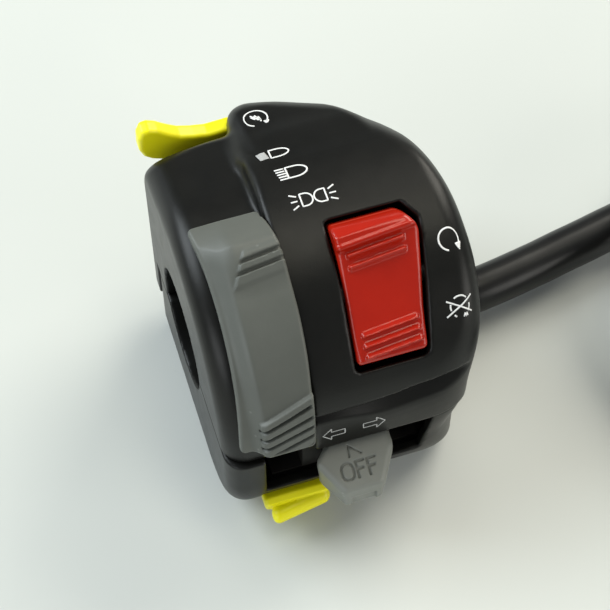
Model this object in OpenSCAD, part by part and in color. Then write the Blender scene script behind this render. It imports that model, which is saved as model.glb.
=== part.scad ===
// Motorbike handlebar switch cluster, clamped round a bar that runs along X.
// Origin on the bar axis at the middle of the housing, front (rider side) at -Y, +Z up.
// Angles round the bar start at the front and rise over the top: 90 is straight up.

/* [Bar] */
// Outside diameter of the handlebar
bar_d = 22.2; // [21:0.1:23]
// Radial room between bar and bore
bar_clearance = 0.05; // [0:0.01:0.2]
// Wall of the half tubes that grip the bar
saddle_wall = 2; // [1.6:0.1:2.2]

/* [Housing] */
// Length of the housing along the bar
body_len = 47; // [46:0.5:52]
// Radius of the raised barrel
barrel_r = 31; // [30.5:0.1:32]
// Radius of the low band under the light slider
band_r = 28.6; // [28.2:0.1:29]
// Length of the low band from the left end
band_len = 15.2; // [14.8:0.1:15.8]
// Length over which the band steps up to the barrel
step_run = 1.2; // [0.6:0.1:2]
// Wall of the two shells
wall = 2.2; // [1.8:0.1:2.4]
// Rounding of the left edge
left_round = 4; // [3:0.1:4.6]
// Rounding of the right edge
right_round = 4; // [3:0.1:5]
// Distance from the bar axis to the flat back
back_y = 23; // [22.6:0.1:23.4]
// Distance from the bar axis to the front of the lower housing
front_y = 29.8; // [29.4:0.1:30.4]
// Depth of the flat underside below the bar axis
base_drop = 25; // [24.8:0.1:27]
// Rounding of the lower housing's front edge
belly_round = 16; // [14:0.5:17]
// Rounding of the front right corner, seen from above
corner_round = 11; // [9:0.5:12]
// Room between the two shells at the split
split_gap = 0.2; // [0.1:0.05:0.3]

/* [Lip and hump] */
// Height of the crease above the lip
lip_top = 12.6; // [12:0.1:13.4]
// How far the lip stands out past the lower housing
lip_flare = 0.3; // [0.1:0.05:0.6]
// Angle round the bar where the hump leaves the barrel
hump_from = 113; // [111:0.5:115]
// Backward slope of the hump's top, in degrees
hump_tilt = 18; // [16:0.5:19]
// Distance from the bar axis to the hump's back
hump_back = 31.5; // [31:0.1:33]
// Length of the hump along the bar, at its back
hump_len = 16; // [15.5:0.5:18]

/* [Controls] */
// Arc of the light slider, in degrees
slider_arc = 81; // [76:1:84]
// Swing of the light slider over its three steps, in degrees
slider_swing = 16; // [12:1:16]
// Width of the light slider
slider_w = 11.6; // [11:0.1:11.7]
// Width of the kill rocker
rocker_w = 12.5; // [11.5:0.1:12.8]
// Reach of the kill rocker's ends from its pin
rocker_reach = 13; // [12:0.1:13.2]
// Tilt of the kill rocker each way, in degrees
rocker_tilt = 7; // [5:0.5:8]
// Width of the turn knob at its root
knob_w = 12.2; // [11:0.1:13]
// How far the turn knob stands out of the lip
knob_reach = 7.2; // [6:0.1:9]
// Slide of the turn knob each way
turn_slide = 5.5; // [4:0.1:5.6]
// Push of the turn knob to cancel
cancel_push = 2; // [1:0.1:2.2]
// Thickness of the starter lever
starter_t = 3; // [2.6:0.1:3.2]
// Width of the horn lever's tongue
horn_w = 11.5; // [10:0.1:12]
// Reach of the horn lever's tongue from its pin
horn_reach = 18.2; // [17:0.1:20]

/* [Pins and screws] */
// Radius of the rocker pin and starter pin
pin_r = 1.5; // [1.3:0.05:1.7]
// Radius of the horn pin
horn_pin_r = 1.2; // [1:0.05:1.4]
// Running room of a lever on its pin
pin_clearance = 0.06; // [0.02:0.01:0.1]
// Radius of the housing screws
screw_r = 1.5; // [1.3:0.05:1.6]
// Radius of the housing screws' heads
screw_head_r = 2.7; // [2.4:0.1:2.8]
// Height of the housing screws' heads
screw_head_h = 2.2; // [1.6:0.1:2.6]
// Radius of the small screws inside
small_screw_r = 1.1; // [0.9:0.05:1.2]
// Room between sliding faces
slide_clearance = 0.3; // [0.25:0.05:0.35]
// Room of a fixed piece in its seat
seat_clearance = 0.05; // [0.02:0.01:0.08]

/* [Cable] */
// Outside diameter of the cable
cable_d = 8.5; // [8:0.1:8.6]
// Length of the grommet outside the housing
grommet_len = 7; // [5:0.5:7]
// Thickness of the cable tie's strap
tie_t = 1; // [0.8:0.1:1.1]

/* [Hidden] */
bore_r = bar_d / 2 + bar_clearance;
saddle_r = bore_r + saddle_wall;
x_left = -body_len / 2;
x_right = body_len / 2;
step_x = x_left + band_len;
lower_right = x_right - 1;
inner_left = x_left + wall;
far = 60;
fine = 96;

// Split between the shells at the back: a ledge, then a skirt behind the lower housing
ledge_drop = 6;
skirt_y = back_y - 4.7;
skirt_drop = 17;
floor_z = -base_drop + wall;

// Hump outline, from the place where it leaves the barrel
hump_start = barrel_r * [-cos(hump_from), sin(hump_from)];
function hump_z(y) = hump_start.y - (y - hump_start.x) * tan(hump_tilt);
hump_edge_y = hump_back - 4.5;
hump_edge_z = hump_z(hump_edge_y);
hump_drop_z = 15.5;
hump_bottom = 1;
hump_right = step_x + hump_len;
hump_skin = 1.2;

// Slanted faces of the hump at its back right and back left, and of the band's back: a point and the way out
hump_brow = [step_x + 8.9, hump_back - 5.2, hump_z(hump_back - 5.2)];
hump_brow_out = [0.395, 0.8, 0.45];
hump_corner = [step_x + 1.8, hump_back - 5.3, hump_z(hump_back - 5.3)];
hump_corner_out = [-0.7, 0.67, 0.25];
band_top = band_r * cos(hump_from - 90 - hump_tilt);
band_brow = [step_x - 1.3, back_y + 0.5, (band_top - (back_y + 0.5) * sin(hump_tilt)) / cos(hump_tilt)];
band_brow_out = [-0.23, 0.9, 0.37];

// Housing screws: x, y
screw_front_left = [x_left + 4.2, -20];
screw_front_right = [lower_right - 5, -20];
screw_back = [0, saddle_r + 1.45];
screw_places = [screw_front_left, screw_front_right, screw_back];
boss_r = screw_head_r + 1.2;
boss_top = 8.3;
head_seat_z = -12;
insert_r = screw_r + 0.7;
insert_len = 6;

// Light slider
slider_from = 11;
slider_to = slider_from + slider_arc;
slider_x1 = step_x - 0.4;
slider_x0 = slider_x1 - slider_w;
slider_mid_x = (slider_x0 + slider_x1) / 2;
slider_foot = band_r + slide_clearance;
flange_h = 1.4;
face_h = 3.2;
pad_h = 4.4;
crest_h = 4.6;
slider_overhang = 1.3;
leg_from = 45.5;
leg_to = 54.5;
leg_half_w = 3;
leg_r = band_r - wall - 2.2;
shoe_top = band_r - wall - slide_clearance;
shoe_bottom = shoe_top - 2.9;
shoe_from = 36;
shoe_to = 58;
shoe_half_w = 4;
ball_angle = 40;
ball_r = 1.4;
light_plate_top = shoe_bottom - 1.7;
light_plate_t = 2;
light_plate_from = 33;
light_plate_to = 83;
light_plate_half_w = 4.5;
light_screw_angles = [39, 77];

// Kill rocker, in a frame turned to the middle of its window
rocker_angle = 58;
rocker_mid_x = 7.45;
rocker_pin_z = barrel_r - 6;
rocker_end_room = 0.4;
window_side_room = 0.3;
rocker_top = 5.9;
rocker_ribs = [1.8 - rocker_reach, 3.1 - rocker_reach, 4.4 - rocker_reach, rocker_reach - 4.4, rocker_reach - 3.2];
ear_t = 2.2;
kill_base_t = 2.2;
kill_base_room = 1.35;
kill_base_top = saddle_r + kill_base_room + kill_base_t;
plunger_reach = rocker_pin_z - kill_base_top - slide_clearance;
plunger_r = 0.185 * plunger_reach;
kill_base_half = [6, 9];
kill_screw_y = 6.5;

// Turn signal
turn_x = -1.5;
slot_left = x_left + 6.5;
slot_right = 13;
slot_bottom = -10.5;
carriage_half_w = 8;
carriage_front = -front_y + wall + 0.7;
carriage_back = carriage_front + 7.8;
carriage_top = -1.3;
carriage_bottom = -11.3;
stem_half_w = 4.2;
stem_z = [-9, -2.5];
stem_end = carriage_front + 3.7;
socket_floor = carriage_back - 1.5;
tray_top = carriage_bottom - slide_clearance;
tray_t = 1.6;
tray_left = turn_x - 13.5;
tray_right = turn_x + 13.5;
tray_front = carriage_front + 0.4;
tray_back = -9.5;
board_front = carriage_back + 1.5;
board_t = 1.4;
rail_y = [carriage_front + 3.4, carriage_front + 4.9];
rail_h = 1.4;
tray_screw_places = [[turn_x, -11.5], [9, -11.5]];
knob_z = [-10, -1.3];

// Starter lever
starter_pivot = [step_x + 10.3, hump_back - 5];
starter_hub_r = pin_r + 0.9;
starter_z = [7.5, 13.8];
starter_tip_x = x_left + 0.5;
starter_tip_z = [15.5, 25.6];
starter_dip_x = x_left + 8.5;
starter_dip_z = 21.2;
starter_root_x = step_x - 1;
starter_root_z = 20.6;
starter_under_z = 11;
starter_pin_z = [4.4, 16.2];
switch_x = [step_x + wall + 0.3, step_x + 16.3];
switch_y = [starter_pivot.y - 12.5, starter_pivot.y - 4.1];
switch_z = [boss_top, boss_top + 7.7];
starter_plunger_x = switch_x[0] + 1.8;
starter_spring_x = starter_plunger_x + 3;
plunger_tip_r = 1.2;
plunger_out = 2;
plunger_z = 11;

// Horn lever
horn_pivot = [-15, -19.5];
horn_x0 = x_left + 6.5;
horn_x1 = horn_x0 + horn_w;
horn_arm_x = [horn_x0 + 2.2, horn_x1 - 1];
horn_hub_r = horn_pin_r + 0.9;
horn_tip_y = horn_pivot.x - horn_reach;
horn_arm_end = -front_y + 1.8;
horn_tongue_root = -front_y + 2.6;
horn_top_z = -15.9;
horn_low_z = -18.9;
horn_crest = [-front_y - 0.7, -15.4];
horn_nose_z = [-18.8, -16.6];
horn_belly = [-front_y - 0.2, -19.8];
horn_contact_y = -25;
horn_spring_y = -21.5;
horn_ear_t = 1.5;

// Cable: entry under the bar, free stretch over the table, then one loop beside it
cable_r = cable_d / 2;
cable_y = 1.5;
cable_z = -18.5;
cable_inner_x = 11;
exit_x = lower_right + grommet_len;
coil_z = -base_drop + tie_t + 0.15 + cable_r;
clamp_x = [lower_right - 10, lower_right - 5];
clamp_post_y = [cable_y - 7.5, cable_y + 7.5];
clamp_post_z = -20;
clamp_t = 0.8;
coil_centre = [108, -24.6];
coil_from = 102.3;
coil_to = -270;
coil_r0 = 40.5;
coil_pitch = 9.2;
coil_rings = 24;
coil_tail = 21;
coil_cross = 139;
coil_cross_span = 50;
coil_lift = 9.6;
lead_points = [
    [exit_x, cable_y, cable_z], [33, 1.6, -18.5], [36, 2, -18.6], [40, 2.7, -18.8], [44, 3.5, -19],
    [48, 4.3, -19.2], [53, 5.4, -19.3], [58, 6.4, -19.4], [63, 7.5, -19.5], [68, 8.5, -19.6],
    [74, 9.8, -19.6], [80, 11, -19.6], [86, 12.2, coil_z], [92, 13.4, coil_z],
    [coil_point(coil_from).x, coil_point(coil_from).y, coil_z]
];
connector_size = [34, 17, 10.6];
terminal_r = 1;

housing_colour = "#1d1e1b";
grey_colour = "#80837b";
red_colour = "#b8281b";
yellow_colour = "#d9d11f";
base_colour = "#4a4436";
brass_colour = "#b08d4a";
steel_colour = "#9a9da0";
rubber_colour = "#141414";

// Points of an arc in the plane
function arc(c, r, a0, a1, n = 10) =
    [for (i = [0:n]) let (a = a0 + (a1 - a0) * i / n) c + r * [cos(a), sin(a)]];

function unit(v) = v / norm(v);

// Points of one rounded corner p between its neighbours a and b
function corner(p, a, b, r, n) =
    let (
        u = unit(a - p),
        v = unit(b - p),
        half = acos(u * v) / 2,
        c = p + unit(u + v) * r / sin(half),
        s = p + u * r / tan(half) - c,
        e = p + v * r / tan(half) - c,
        start = atan2(s.y, s.x),
        turn = atan2(e.y, e.x) - start,
        sweep = turn > 180 ? turn - 360 : turn < -180 ? turn + 360 : turn
    )
    arc(c, r, start, start + sweep, n);

// Outline with each corner rounded by its own radius
function rounded(points, radii, n = 8) =
    let (count = len(points))
    [for (i = [0:count - 1])
        each radii[i] == 0 ? [points[i]]
            : corner(points[i], points[(i + count - 1) % count], points[(i + 1) % count],
                     radii[i], n)];

// One ring of a tube round the point p with heading t
function tube_ring(p, t, up, r, n) =
    let (s = unit(cross(t, up)), v = cross(s, t))
    [for (i = [0:n - 1]) p + r * (cos(360 * i / n) * s + sin(360 * i / n) * v)];

// Heading of a path at its point i, with given headings at its ends
function heading(path, i, ends) =
    i == 0 ? ends[0] : i == len(path) - 1 ? ends[1] : unit(path[i + 1] - path[i - 1]);

// Headings of a path's own first and last stretch
function own_ends(path) =
    [unit(path[1] - path[0]), unit(path[len(path) - 1] - path[len(path) - 2])];

// A tube swept along a path, as triangles
module tube(path, r, n, up, ends) {
    last = len(path) - 1;
    points = [for (i = [0:last]) each tube_ring(path[i], heading(path, i, ends), up, r, n)];
    sides = [for (k = [0:last - 1], i = [0:n - 1])
        let (j = (i + 1) % n, a = k * n + i, b = k * n + j, c = b + n, d = a + n)
        each [[a, b, c], [a, c, d]]];
    first_cap = [for (i = [1:n - 2]) [0, i + 1, i]];
    last_cap = [for (i = [1:n - 2]) [last * n, last * n + i, last * n + i + 1]];
    polyhedron(points, concat(sides, first_cap, last_cap), convexity = 8);
}

// A spring of round wire along a helix about Z
module spring(path, r) tube(path, r, 6, [0, 0, 1], own_ends(path));

// Helix about Z from 0 to h
function helix(r, h, turns, per_turn = 8) =
    [for (i = [0:turns * per_turn])
        let (a = 360 * i / per_turn) [r * cos(a), r * sin(a), h * i / (turns * per_turn)]];

// Coil of the cable: angle falls, radius grows, with a low hump where it passes over the lead
function coil_r(a) = coil_r0 + coil_pitch * (coil_from - a) / 360;
function coil_hump(a) =
    let (d = abs(a + 360 - coil_cross))
    d > coil_cross_span ? 0 : coil_lift * pow(cos(90 * d / coil_cross_span), 2);
function coil_point(a) =
    [coil_centre.x + coil_r(a) * cos(a), coil_centre.y + coil_r(a) * sin(a), coil_z + coil_hump(a)];
coil_steps = ceil((coil_from - coil_to) * coil_rings / 360);
coil_turn = [for (i = [0:coil_steps]) coil_point(coil_from + (coil_to - coil_from) * i / coil_steps)];
coil_end = coil_turn[coil_steps];
coil_heading = [sin(coil_from), -cos(coil_from), 0];
coil_tail_points = [for (s = [coil_tail / 3, 2 * coil_tail / 3, coil_tail]) coil_end + [s, 0, 0]];
coil_path = concat(coil_turn, coil_tail_points);

// Least room between strands of the coil that lie at least a third of a turn apart
coil_self_gap = min([for (i = [0:len(coil_path) - 1], j = [i + coil_rings / 3:len(coil_path) - 1])
    norm(coil_path[i] - coil_path[j])]) - cable_d;
echo(coil_self_gap = coil_self_gap);

// Turn a (radius, x) outline round the bar between two angles
module sweep_bar(from, to)
    rotate([-90, 0, 0]) rotate([0, 90, 0]) rotate([0, 0, -to])
        rotate_extrude(angle = to - from, $fn = fine) children();

// A curved block round the bar
module ring_piece(from, to, r, x)
    sweep_bar(from, to) translate([r[0], x[0]]) square([r[1] - r[0], x[1] - x[0]]);

// Frame whose Z points out of the barrel at an angle, with Y towards larger angles
module at_angle(a) rotate([90 - a, 0, 0]) children();

// Extrude a (y, z) outline along X
module along_x(x0, x1) translate([x0, 0, 0]) rotate([90, 0, 90]) linear_extrude(x1 - x0) children();

// Extrude an (x, z) outline along Y
module along_y(y0, y1) translate([0, y1, 0]) rotate([90, 0, 0]) linear_extrude(y1 - y0) children();

// Extrude an (x, y) outline along Z
module along_z(z0, z1) translate([0, 0, z0]) linear_extrude(z1 - z0) children();

// Box from its two corners
module block(a, b) translate(a) cube(b - a);

// All that lies past the plane through p that faces out
module beyond(p, out)
    translate(p) rotate([0, acos(out.z / norm(out)), atan2(out.y, out.x)])
        translate([-far, -far, 0]) cube([2 * far, 2 * far, far]);

// Upright rod
module rod(p, r, z0, z1) translate([p.x, p.y, z0]) cylinder(r = r, h = z1 - z0, $fn = fine);

// Rod along X at (y, z)
module rod_x(p, r, x0, x1)
    translate([x0, p.x, p.y]) rotate([0, 90, 0]) cylinder(r = r, h = x1 - x0, $fn = fine);

// Small pan-head screw pointing down from the origin
module small_screw(shank) {
    head_r = small_screw_r + 0.8;
    head_h = 1.2;
    difference() {
        union() {
            cylinder(r = head_r, h = head_h, $fn = fine);
            translate([0, 0, -shank]) cylinder(r = small_screw_r, h = shank, $fn = fine);
        }
        for (a = [0, 90])
            rotate([0, 0, a]) translate([-head_r * 0.6, -0.3, head_h - 0.5]) cube([head_r * 1.2, 0.6, 1]);
    }
}

// Outline of the revolved shell as (radius, x), moved in by a wall
function barrel_profile(inset) = concat(
    [[0, x_left + inset]],
    arc([band_r - left_round, x_left + left_round], left_round - inset, -90, 0),
    [[band_r - inset, step_x + inset], [barrel_r - inset, step_x + step_run + inset]],
    arc([barrel_r - right_round, x_right - right_round], right_round - inset, 0, 90),
    [[0, x_right - inset]]
);

module barrel(inset)
    rotate([-90, 0, 0]) rotate([0, 90, 0]) rotate_extrude($fn = fine) polygon(barrel_profile(inset));

// Slanted side at the back right of the barrel: where it meets the back, and its outward direction
side_x = x_right - 8.3;
side_out = [cos(25.5), sin(25.5)];
function side_at_y(y, inset) = side_x - (side_out.y * (y - back_y) + inset) / side_out.x;
function side_at_x(x, inset) = back_y - (side_out.x * (x - side_x) + inset) / side_out.y;

// Plan of the upper shell: rounded at the front right, slanted at the back right
module upper_plan(inset) polygon(rounded(
    [[x_left - 1, -barrel_r - 0.2 + inset], [x_right - inset, -barrel_r - 0.2 + inset],
     [x_right - inset, side_at_x(x_right - inset, inset)], [side_at_y(far, inset), far], [x_left - 1, far]],
    [0, corner_round - 1 - inset, 5, 0, 0]
));

// What belongs to the upper shell, seen along the bar
module upper_region() polygon([
    [-far, 0], [bore_r, 0], [bore_r, -ledge_drop], [skirt_y, -ledge_drop], [skirt_y, -skirt_drop],
    [back_y, -skirt_drop], [back_y, far], [-far, far]
]);

module upper_cavity_region() polygon([
    [-far, -1], [bore_r - 1, -1], [bore_r - 1, 0], [back_y - wall, 0], [back_y - wall, far], [-far, far]
]);

// Hump over the starter lever
module hump_outline() polygon(rounded(
    [[0, hump_bottom], [0, hump_start.y - 6], [hump_start.x, hump_start.y],
     [hump_edge_y, hump_edge_z], [hump_back, hump_drop_z], [hump_back, hump_bottom]],
    [0, 0, 0, 2, 5, 4]
));

module hump_plan() polygon(rounded(
    [[step_x, 0], [step_x, hump_back], [hump_right, hump_back], [hump_right + 8, 14], [hump_right + 8, 0]],
    [0, 2.5, 6, 3, 0]
));

// What the slanted faces take off the hump, moved in by a skin
module hump_slants(inset) {
    beyond(hump_brow - inset * unit(hump_brow_out), hump_brow_out);
    beyond(hump_corner - inset * unit(hump_corner_out), hump_corner_out);
}

module hump_solid() difference() {
    intersection() {
        along_x(step_x - 1, x_right) hump_outline();
        along_z(hump_bottom - 1, far) hump_plan();
    }
    hump_slants(0);
}

module hump_cavity() difference() {
    intersection() {
        along_x(step_x - 1, x_right) polygon([
            [8, hump_bottom + wall], [8, hump_start.y - 7], [hump_start.x + 1, hump_start.y - wall - 0.6],
            [hump_edge_y - 1.2, hump_edge_z - wall - 0.2], [hump_back - wall, hump_drop_z - 1.2],
            [hump_back - wall, hump_bottom + wall]
        ]);
        along_z(hump_bottom, far) polygon([
            [step_x + wall, 0], [step_x + wall, hump_back - wall], [hump_right - wall, hump_back - wall],
            [hump_right + 8 - wall - 1, 14], [hump_right + 8 - wall - 1, 0]
        ]);
    }
    hump_slants(hump_skin);
}

// Back of the band: its top runs on at the hump's slope to a slanted back edge
module band_back(inset) difference() {
    rotate([-hump_tilt, 0, 0]) along_y(2, far) polygon(rounded(
        [[x_left + inset, saddle_r + 1 + inset], [x_left + inset, band_top - inset],
         [step_x + 1, band_top - inset], [step_x + 1, saddle_r + 1 + inset]],
        [0, left_round - inset, 0, 0]
    ));
    beyond([0, back_y - inset, 0], [0, 1, 0]);
    beyond(band_brow - inset * unit(band_brow_out), band_brow_out);
}

// Flared lip over the turn slot: a band with its own wall
module lip_solid() intersection() {
    lip_y = front_y + lip_flare;
    along_x(step_x, x_right) polygon(rounded(
        [[-lip_y + 3.6, lip_top + 1], [-lip_y + 2.9, lip_top - 1.6], [-lip_y, 4], [-lip_y, 0],
         [-lip_y + wall, 0], [-lip_y + wall + 1, 4], [-lip_y + wall + 3.6, lip_top - 1.6],
         [-lip_y + wall + 3.9, lip_top + 1.6]],
        [0, 2, 4, 0, 0, 3, 0, 0]
    ));
    along_z(-1, far) housing_plan(lip_flare, 0);
}

// Plan of the lower housing, grown at the front and drawn in by a wall
module housing_plan(grow, inset) polygon(rounded(
    [[x_left + inset, -front_y - grow + inset], [lower_right - inset, -front_y - grow + inset],
     [lower_right - inset, far], [x_left + inset, far]],
    [5 - inset, corner_round - inset, 0, 0]
));

module lip_relief() along_x(step_x, x_right + 1) polygon([
    [-far, lip_top], [-front_y + 1.5, lip_top], [-front_y + 2.6, lip_top - 1.6], [-front_y + 2.6, -1],
    [-far, -1]
]);

module saddle_ring() difference() {
    circle(r = saddle_r, $fn = fine);
    circle(r = bore_r, $fn = fine);
}

module upper_housing() color(housing_colour) difference() {
    union() {
        difference() {
            union() {
                intersection() {
                    barrel(0);
                    along_x(x_left, x_right) upper_region();
                    along_z(-far, far) upper_plan(0);
                }
                band_back(0);
                hump_solid();
            }
            intersection() {
                barrel(wall);
                along_x(x_left, x_right) upper_cavity_region();
                along_z(-far, far) upper_plan(wall);
            }
            band_back(wall);
            hump_cavity();
            lip_relief();
        }
        lip_solid();
        along_x(x_left, x_right) intersection() {
            saddle_ring();
            translate([-far, 0]) square([2 * far, far]);
        }
        for (p = screw_places) rod(p, boss_r, p == screw_back ? -ledge_drop : 0, boss_top);
        intersection() {
            rod_x([0, 0], light_plate_top - light_plate_t, x_left, x_right);
            for (a = light_screw_angles) at_angle(a) rod([slider_mid_x, 0], small_screw_r + 1, bore_r + 1, far);
        }
        at_angle(rocker_angle) {
            for (y = [-kill_screw_y, kill_screw_y])
                rod([rocker_mid_x, y], small_screw_r + 1, bore_r - 1, kill_base_top - kill_base_t);
            for (x = rocker_ear_x)
                block([x, -3.5, rocker_pin_z - 2.8], [x + ear_t, 3.5, barrel_r - wall + 0.4]);
        }
        intersection() {
            hump_solid();
            union() {
                rod(starter_pivot, starter_hub_r + 0.1, hump_bottom, starter_z[0] - slide_clearance);
                rod(starter_pivot, starter_hub_r + 0.1, starter_z[1] + slide_clearance, far);
            }
        }
    }
    rod_x([0, 0], bore_r, x_left - 1, x_right + 1);
    for (p = screw_places) rod(p, insert_r + seat_clearance, -ledge_drop - 1, boss_top - 1);
    ring_piece(leg_from - 2.5, leg_to + slider_swing + 2.5, [band_r - wall - 1, band_r + 1],
               [slider_mid_x - leg_half_w - 0.3, slider_mid_x + leg_half_w + 0.3]);
    for (a = light_screw_angles)
        at_angle(a) rod([slider_mid_x, 0], small_screw_r + seat_clearance, bore_r + 1.4, light_plate_top);
    at_angle(rocker_angle) {
        block([rocker_window_x[0], -rocker_window_y, rocker_pin_z - 2],
              [rocker_window_x[1], rocker_window_y, far]);
        for (y = [-kill_screw_y, kill_screw_y])
            rod([rocker_mid_x, y], small_screw_r + seat_clearance, bore_r + 1.4, kill_base_top);
        rod_x([0, rocker_pin_z], pin_r + seat_clearance, rocker_pin_x[0], rocker_pin_x[1]);
    }
    rod(starter_pivot, pin_r + seat_clearance, starter_pin_z[0], starter_pin_z[1]);
    block([step_x - 1, starter_y[0] - 1.6, starter_z[0] - 0.6],
          [step_x + wall + 0.1, starter_y[1] + 0.4, starter_z[1] + 0.6]);
}

// Places that follow from the rocker's and lever's sizes
rocker_window_x = [for (s = [-1, 1]) rocker_mid_x + s * (rocker_w / 2 + window_side_room)];
rocker_window_y = rocker_reach + rocker_end_room;
rocker_ear_x = [rocker_window_x[0] - 0.3 - ear_t, rocker_window_x[1] + 0.3];
rocker_pin_x = [rocker_ear_x[0], rocker_ear_x[1] + ear_t];
starter_y = [for (s = [-1, 1]) starter_pivot.y + s * starter_t / 2];

// Section of the lower housing, drawn in by a wall, with its top at the split
module lower_section(inset) polygon(rounded(
    [[-front_y + inset, inset > 0 ? 1 : -split_gap],
     [-front_y + inset, -base_drop + inset], [skirt_y - split_gap - inset, -base_drop + inset],
     [skirt_y - split_gap - inset, -ledge_drop - split_gap - inset],
     [bore_r - 4, -ledge_drop - split_gap - inset], [bore_r - 4, inset > 0 ? 1 : -split_gap]],
    [0, belly_round - inset, 4 - inset / 2, 0, 0, 0]
));

module lower_housing() color(housing_colour) difference() {
    union() {
        difference() {
            intersection() {
                along_x(x_left, lower_right) lower_section(0);
                along_z(-base_drop - 1, 1) housing_plan(0, 0);
            }
            intersection() {
                along_x(inner_left, lower_right - wall) lower_section(wall);
                along_z(-base_drop - 1, 2) housing_plan(0, wall);
            }
        }
        along_x(x_left, lower_right) intersection() {
            saddle_ring();
            lower_section(0);
        }
        intersection() {
            along_x(x_left, lower_right) lower_section(0);
            along_z(-base_drop - 1, 1) housing_plan(0, 0);
            union() {
                for (p = screw_places) rod(p, boss_r, -base_drop, 0);
                for (p = tray_screw_places) rod(p, small_screw_r + 1, -base_drop, tray_top - tray_t);
                for (y = clamp_post_y)
                    rod([(clamp_x[0] + clamp_x[1]) / 2, y], small_screw_r + 1, -base_drop, clamp_post_z);
                for (x = [horn_arm_x[0] - slide_clearance - horn_ear_t, horn_arm_x[1] + slide_clearance])
                    block([x, horn_pivot.x - horn_hub_r, -base_drop],
                          [x + horn_ear_t, horn_pivot.x + horn_hub_r, horn_pivot.y + horn_hub_r]);
                block([cable_inner_x + 1, cable_y - 2, -base_drop],
                      [lower_right - 3, cable_y + 2, cable_z - cable_r]);
            }
        }
    }
    rod_x([0, 0], bore_r, x_left - 1, x_right + 1);
    for (p = screw_places) {
        rod(p, screw_r + 0.2, -base_drop - 1, 1);
        rod(p, screw_head_r + 0.3, -base_drop - 1, head_seat_z);
    }
    block([slot_left, -far, slot_bottom], [slot_right, -front_y + wall + 0.3, 2]);
    block([horn_x0 - 0.5, -far, horn_pivot.y - 1.1], [horn_x1 + 0.5, -front_y + 8.6, -13.2]);
    rod_x([cable_y, cable_z], cable_r + 1 + seat_clearance, lower_right - wall - 1, lower_right + 1);
    for (p = tray_screw_places) rod(p, small_screw_r + seat_clearance, tray_top - tray_t - 6, 0);
    for (y = clamp_post_y)
        rod([(clamp_x[0] + clamp_x[1]) / 2, y], small_screw_r + seat_clearance, clamp_post_z - 3, -14);
    rod_x(horn_pivot, horn_pin_r + seat_clearance, horn_pin_x[0], horn_pin_x[1]);
}

horn_pin_x = [horn_arm_x[0] - slide_clearance - horn_ear_t, horn_arm_x[1] + slide_clearance + horn_ear_t];

module housing_screws() color(steel_colour)
    for (p = screw_places) translate([p.x, p.y, 0]) difference() {
        union() {
            rod([0, 0], screw_r, head_seat_z, boss_top - 1.5);
            rod([0, 0], screw_head_r, head_seat_z - screw_head_h, head_seat_z);
        }
        for (a = [0, 90])
            rotate([0, 0, a]) block([-screw_head_r * 0.6, -0.4, head_seat_z - screw_head_h - 1],
                                    [screw_head_r * 0.6, 0.4, head_seat_z - screw_head_h + 1]);
    }

module thread_inserts() color(brass_colour)
    for (p = screw_places) difference() {
        rod(p, insert_r, boss_top - 1 - insert_len, boss_top - 1);
        rod(p, screw_r + seat_clearance, -far, far);
    }

// Side view of the slider's head: a ramp up to a crest, then a short fall to the face
function slider_at(a, h) = (slider_foot + h) * [-cos(a), sin(a)];
module slider_head() polygon(concat(
    [for (a = [slider_to - 17:3:slider_to - 2]) slider_at(a, 0.6)],
    [slider_at(slider_to - 0.3, 0.6), slider_at(slider_to - 0.3, flange_h - 0.1), slider_at(slider_to - 12, crest_h),
     slider_at(slider_to - 17, face_h - 0.1)]
));

module light_slider() color(grey_colour) difference() {
    union() {
        ring_piece(slider_from, slider_to, [slider_foot, slider_foot + flange_h], [slider_x0, slider_x1]);
        ring_piece(slider_from + 1, slider_to - 16, [slider_foot, slider_foot + face_h], [slider_x0 + 2.6, slider_x1]);
        ring_piece(slider_from + 1, slider_from + 17, [slider_foot, slider_foot + pad_h], [slider_x0 + 3, slider_x1]);
        ring_piece(slider_from + 14, slider_to - 17.5, [barrel_r + slide_clearance, slider_foot + face_h - 0.1],
                   [slider_x1 - 1, slider_x1 + slider_overhang]);
        along_x(slider_x0 + 0.3, slider_x1 - 0.1) slider_head();
        ring_piece(leg_from, leg_to, [leg_r, slider_foot + 1],
                   [slider_mid_x - leg_half_w, slider_mid_x + leg_half_w]);
    }
    for (i = [1:4])
        ring_piece(slider_from + 3.4 * i, slider_from + 3.4 * i + 1.3,
                   [slider_foot + pad_h - 0.9, slider_foot + pad_h + 1], [slider_x0, slider_x1 + 1]);
}

module slider_shoe() color(base_colour) difference() {
    ring_piece(shoe_from, shoe_to, [shoe_bottom, shoe_top],
               [slider_mid_x - shoe_half_w, slider_mid_x + shoe_half_w]);
    ring_piece(leg_from - 0.2, leg_to + 0.2, [leg_r - seat_clearance, band_r],
               [slider_mid_x - leg_half_w - seat_clearance, slider_mid_x + leg_half_w + seat_clearance]);
    at_angle(ball_angle) rod([slider_mid_x, 0], ball_r + seat_clearance, shoe_top - 2 * ball_r - 0.05, band_r);
}

module slider_contact_bridge() color(brass_colour) {
    x = [slider_mid_x - 2.5, slider_mid_x + 2.5];
    ring_piece(leg_from - 1, leg_to + 1, [shoe_bottom - 0.6, shoe_bottom - 0.02], x);
    for (a = [leg_from, leg_to - 2])
        ring_piece(a, a + 2, [light_plate_top + slide_clearance, shoe_bottom - 0.3], x);
}

module slider_detent_ball() color(steel_colour)
    at_angle(ball_angle) translate([slider_mid_x, 0, shoe_top - ball_r]) sphere(r = ball_r, $fn = 32);

module light_contact_plate() color(base_colour) difference() {
    ring_piece(light_plate_from, light_plate_to, [light_plate_top - light_plate_t, light_plate_top],
               [slider_mid_x - light_plate_half_w, slider_mid_x + light_plate_half_w]);
    for (a = light_screw_angles) at_angle(a) rod([slider_mid_x, 0], small_screw_r + 0.15, 0, far);
}

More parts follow.
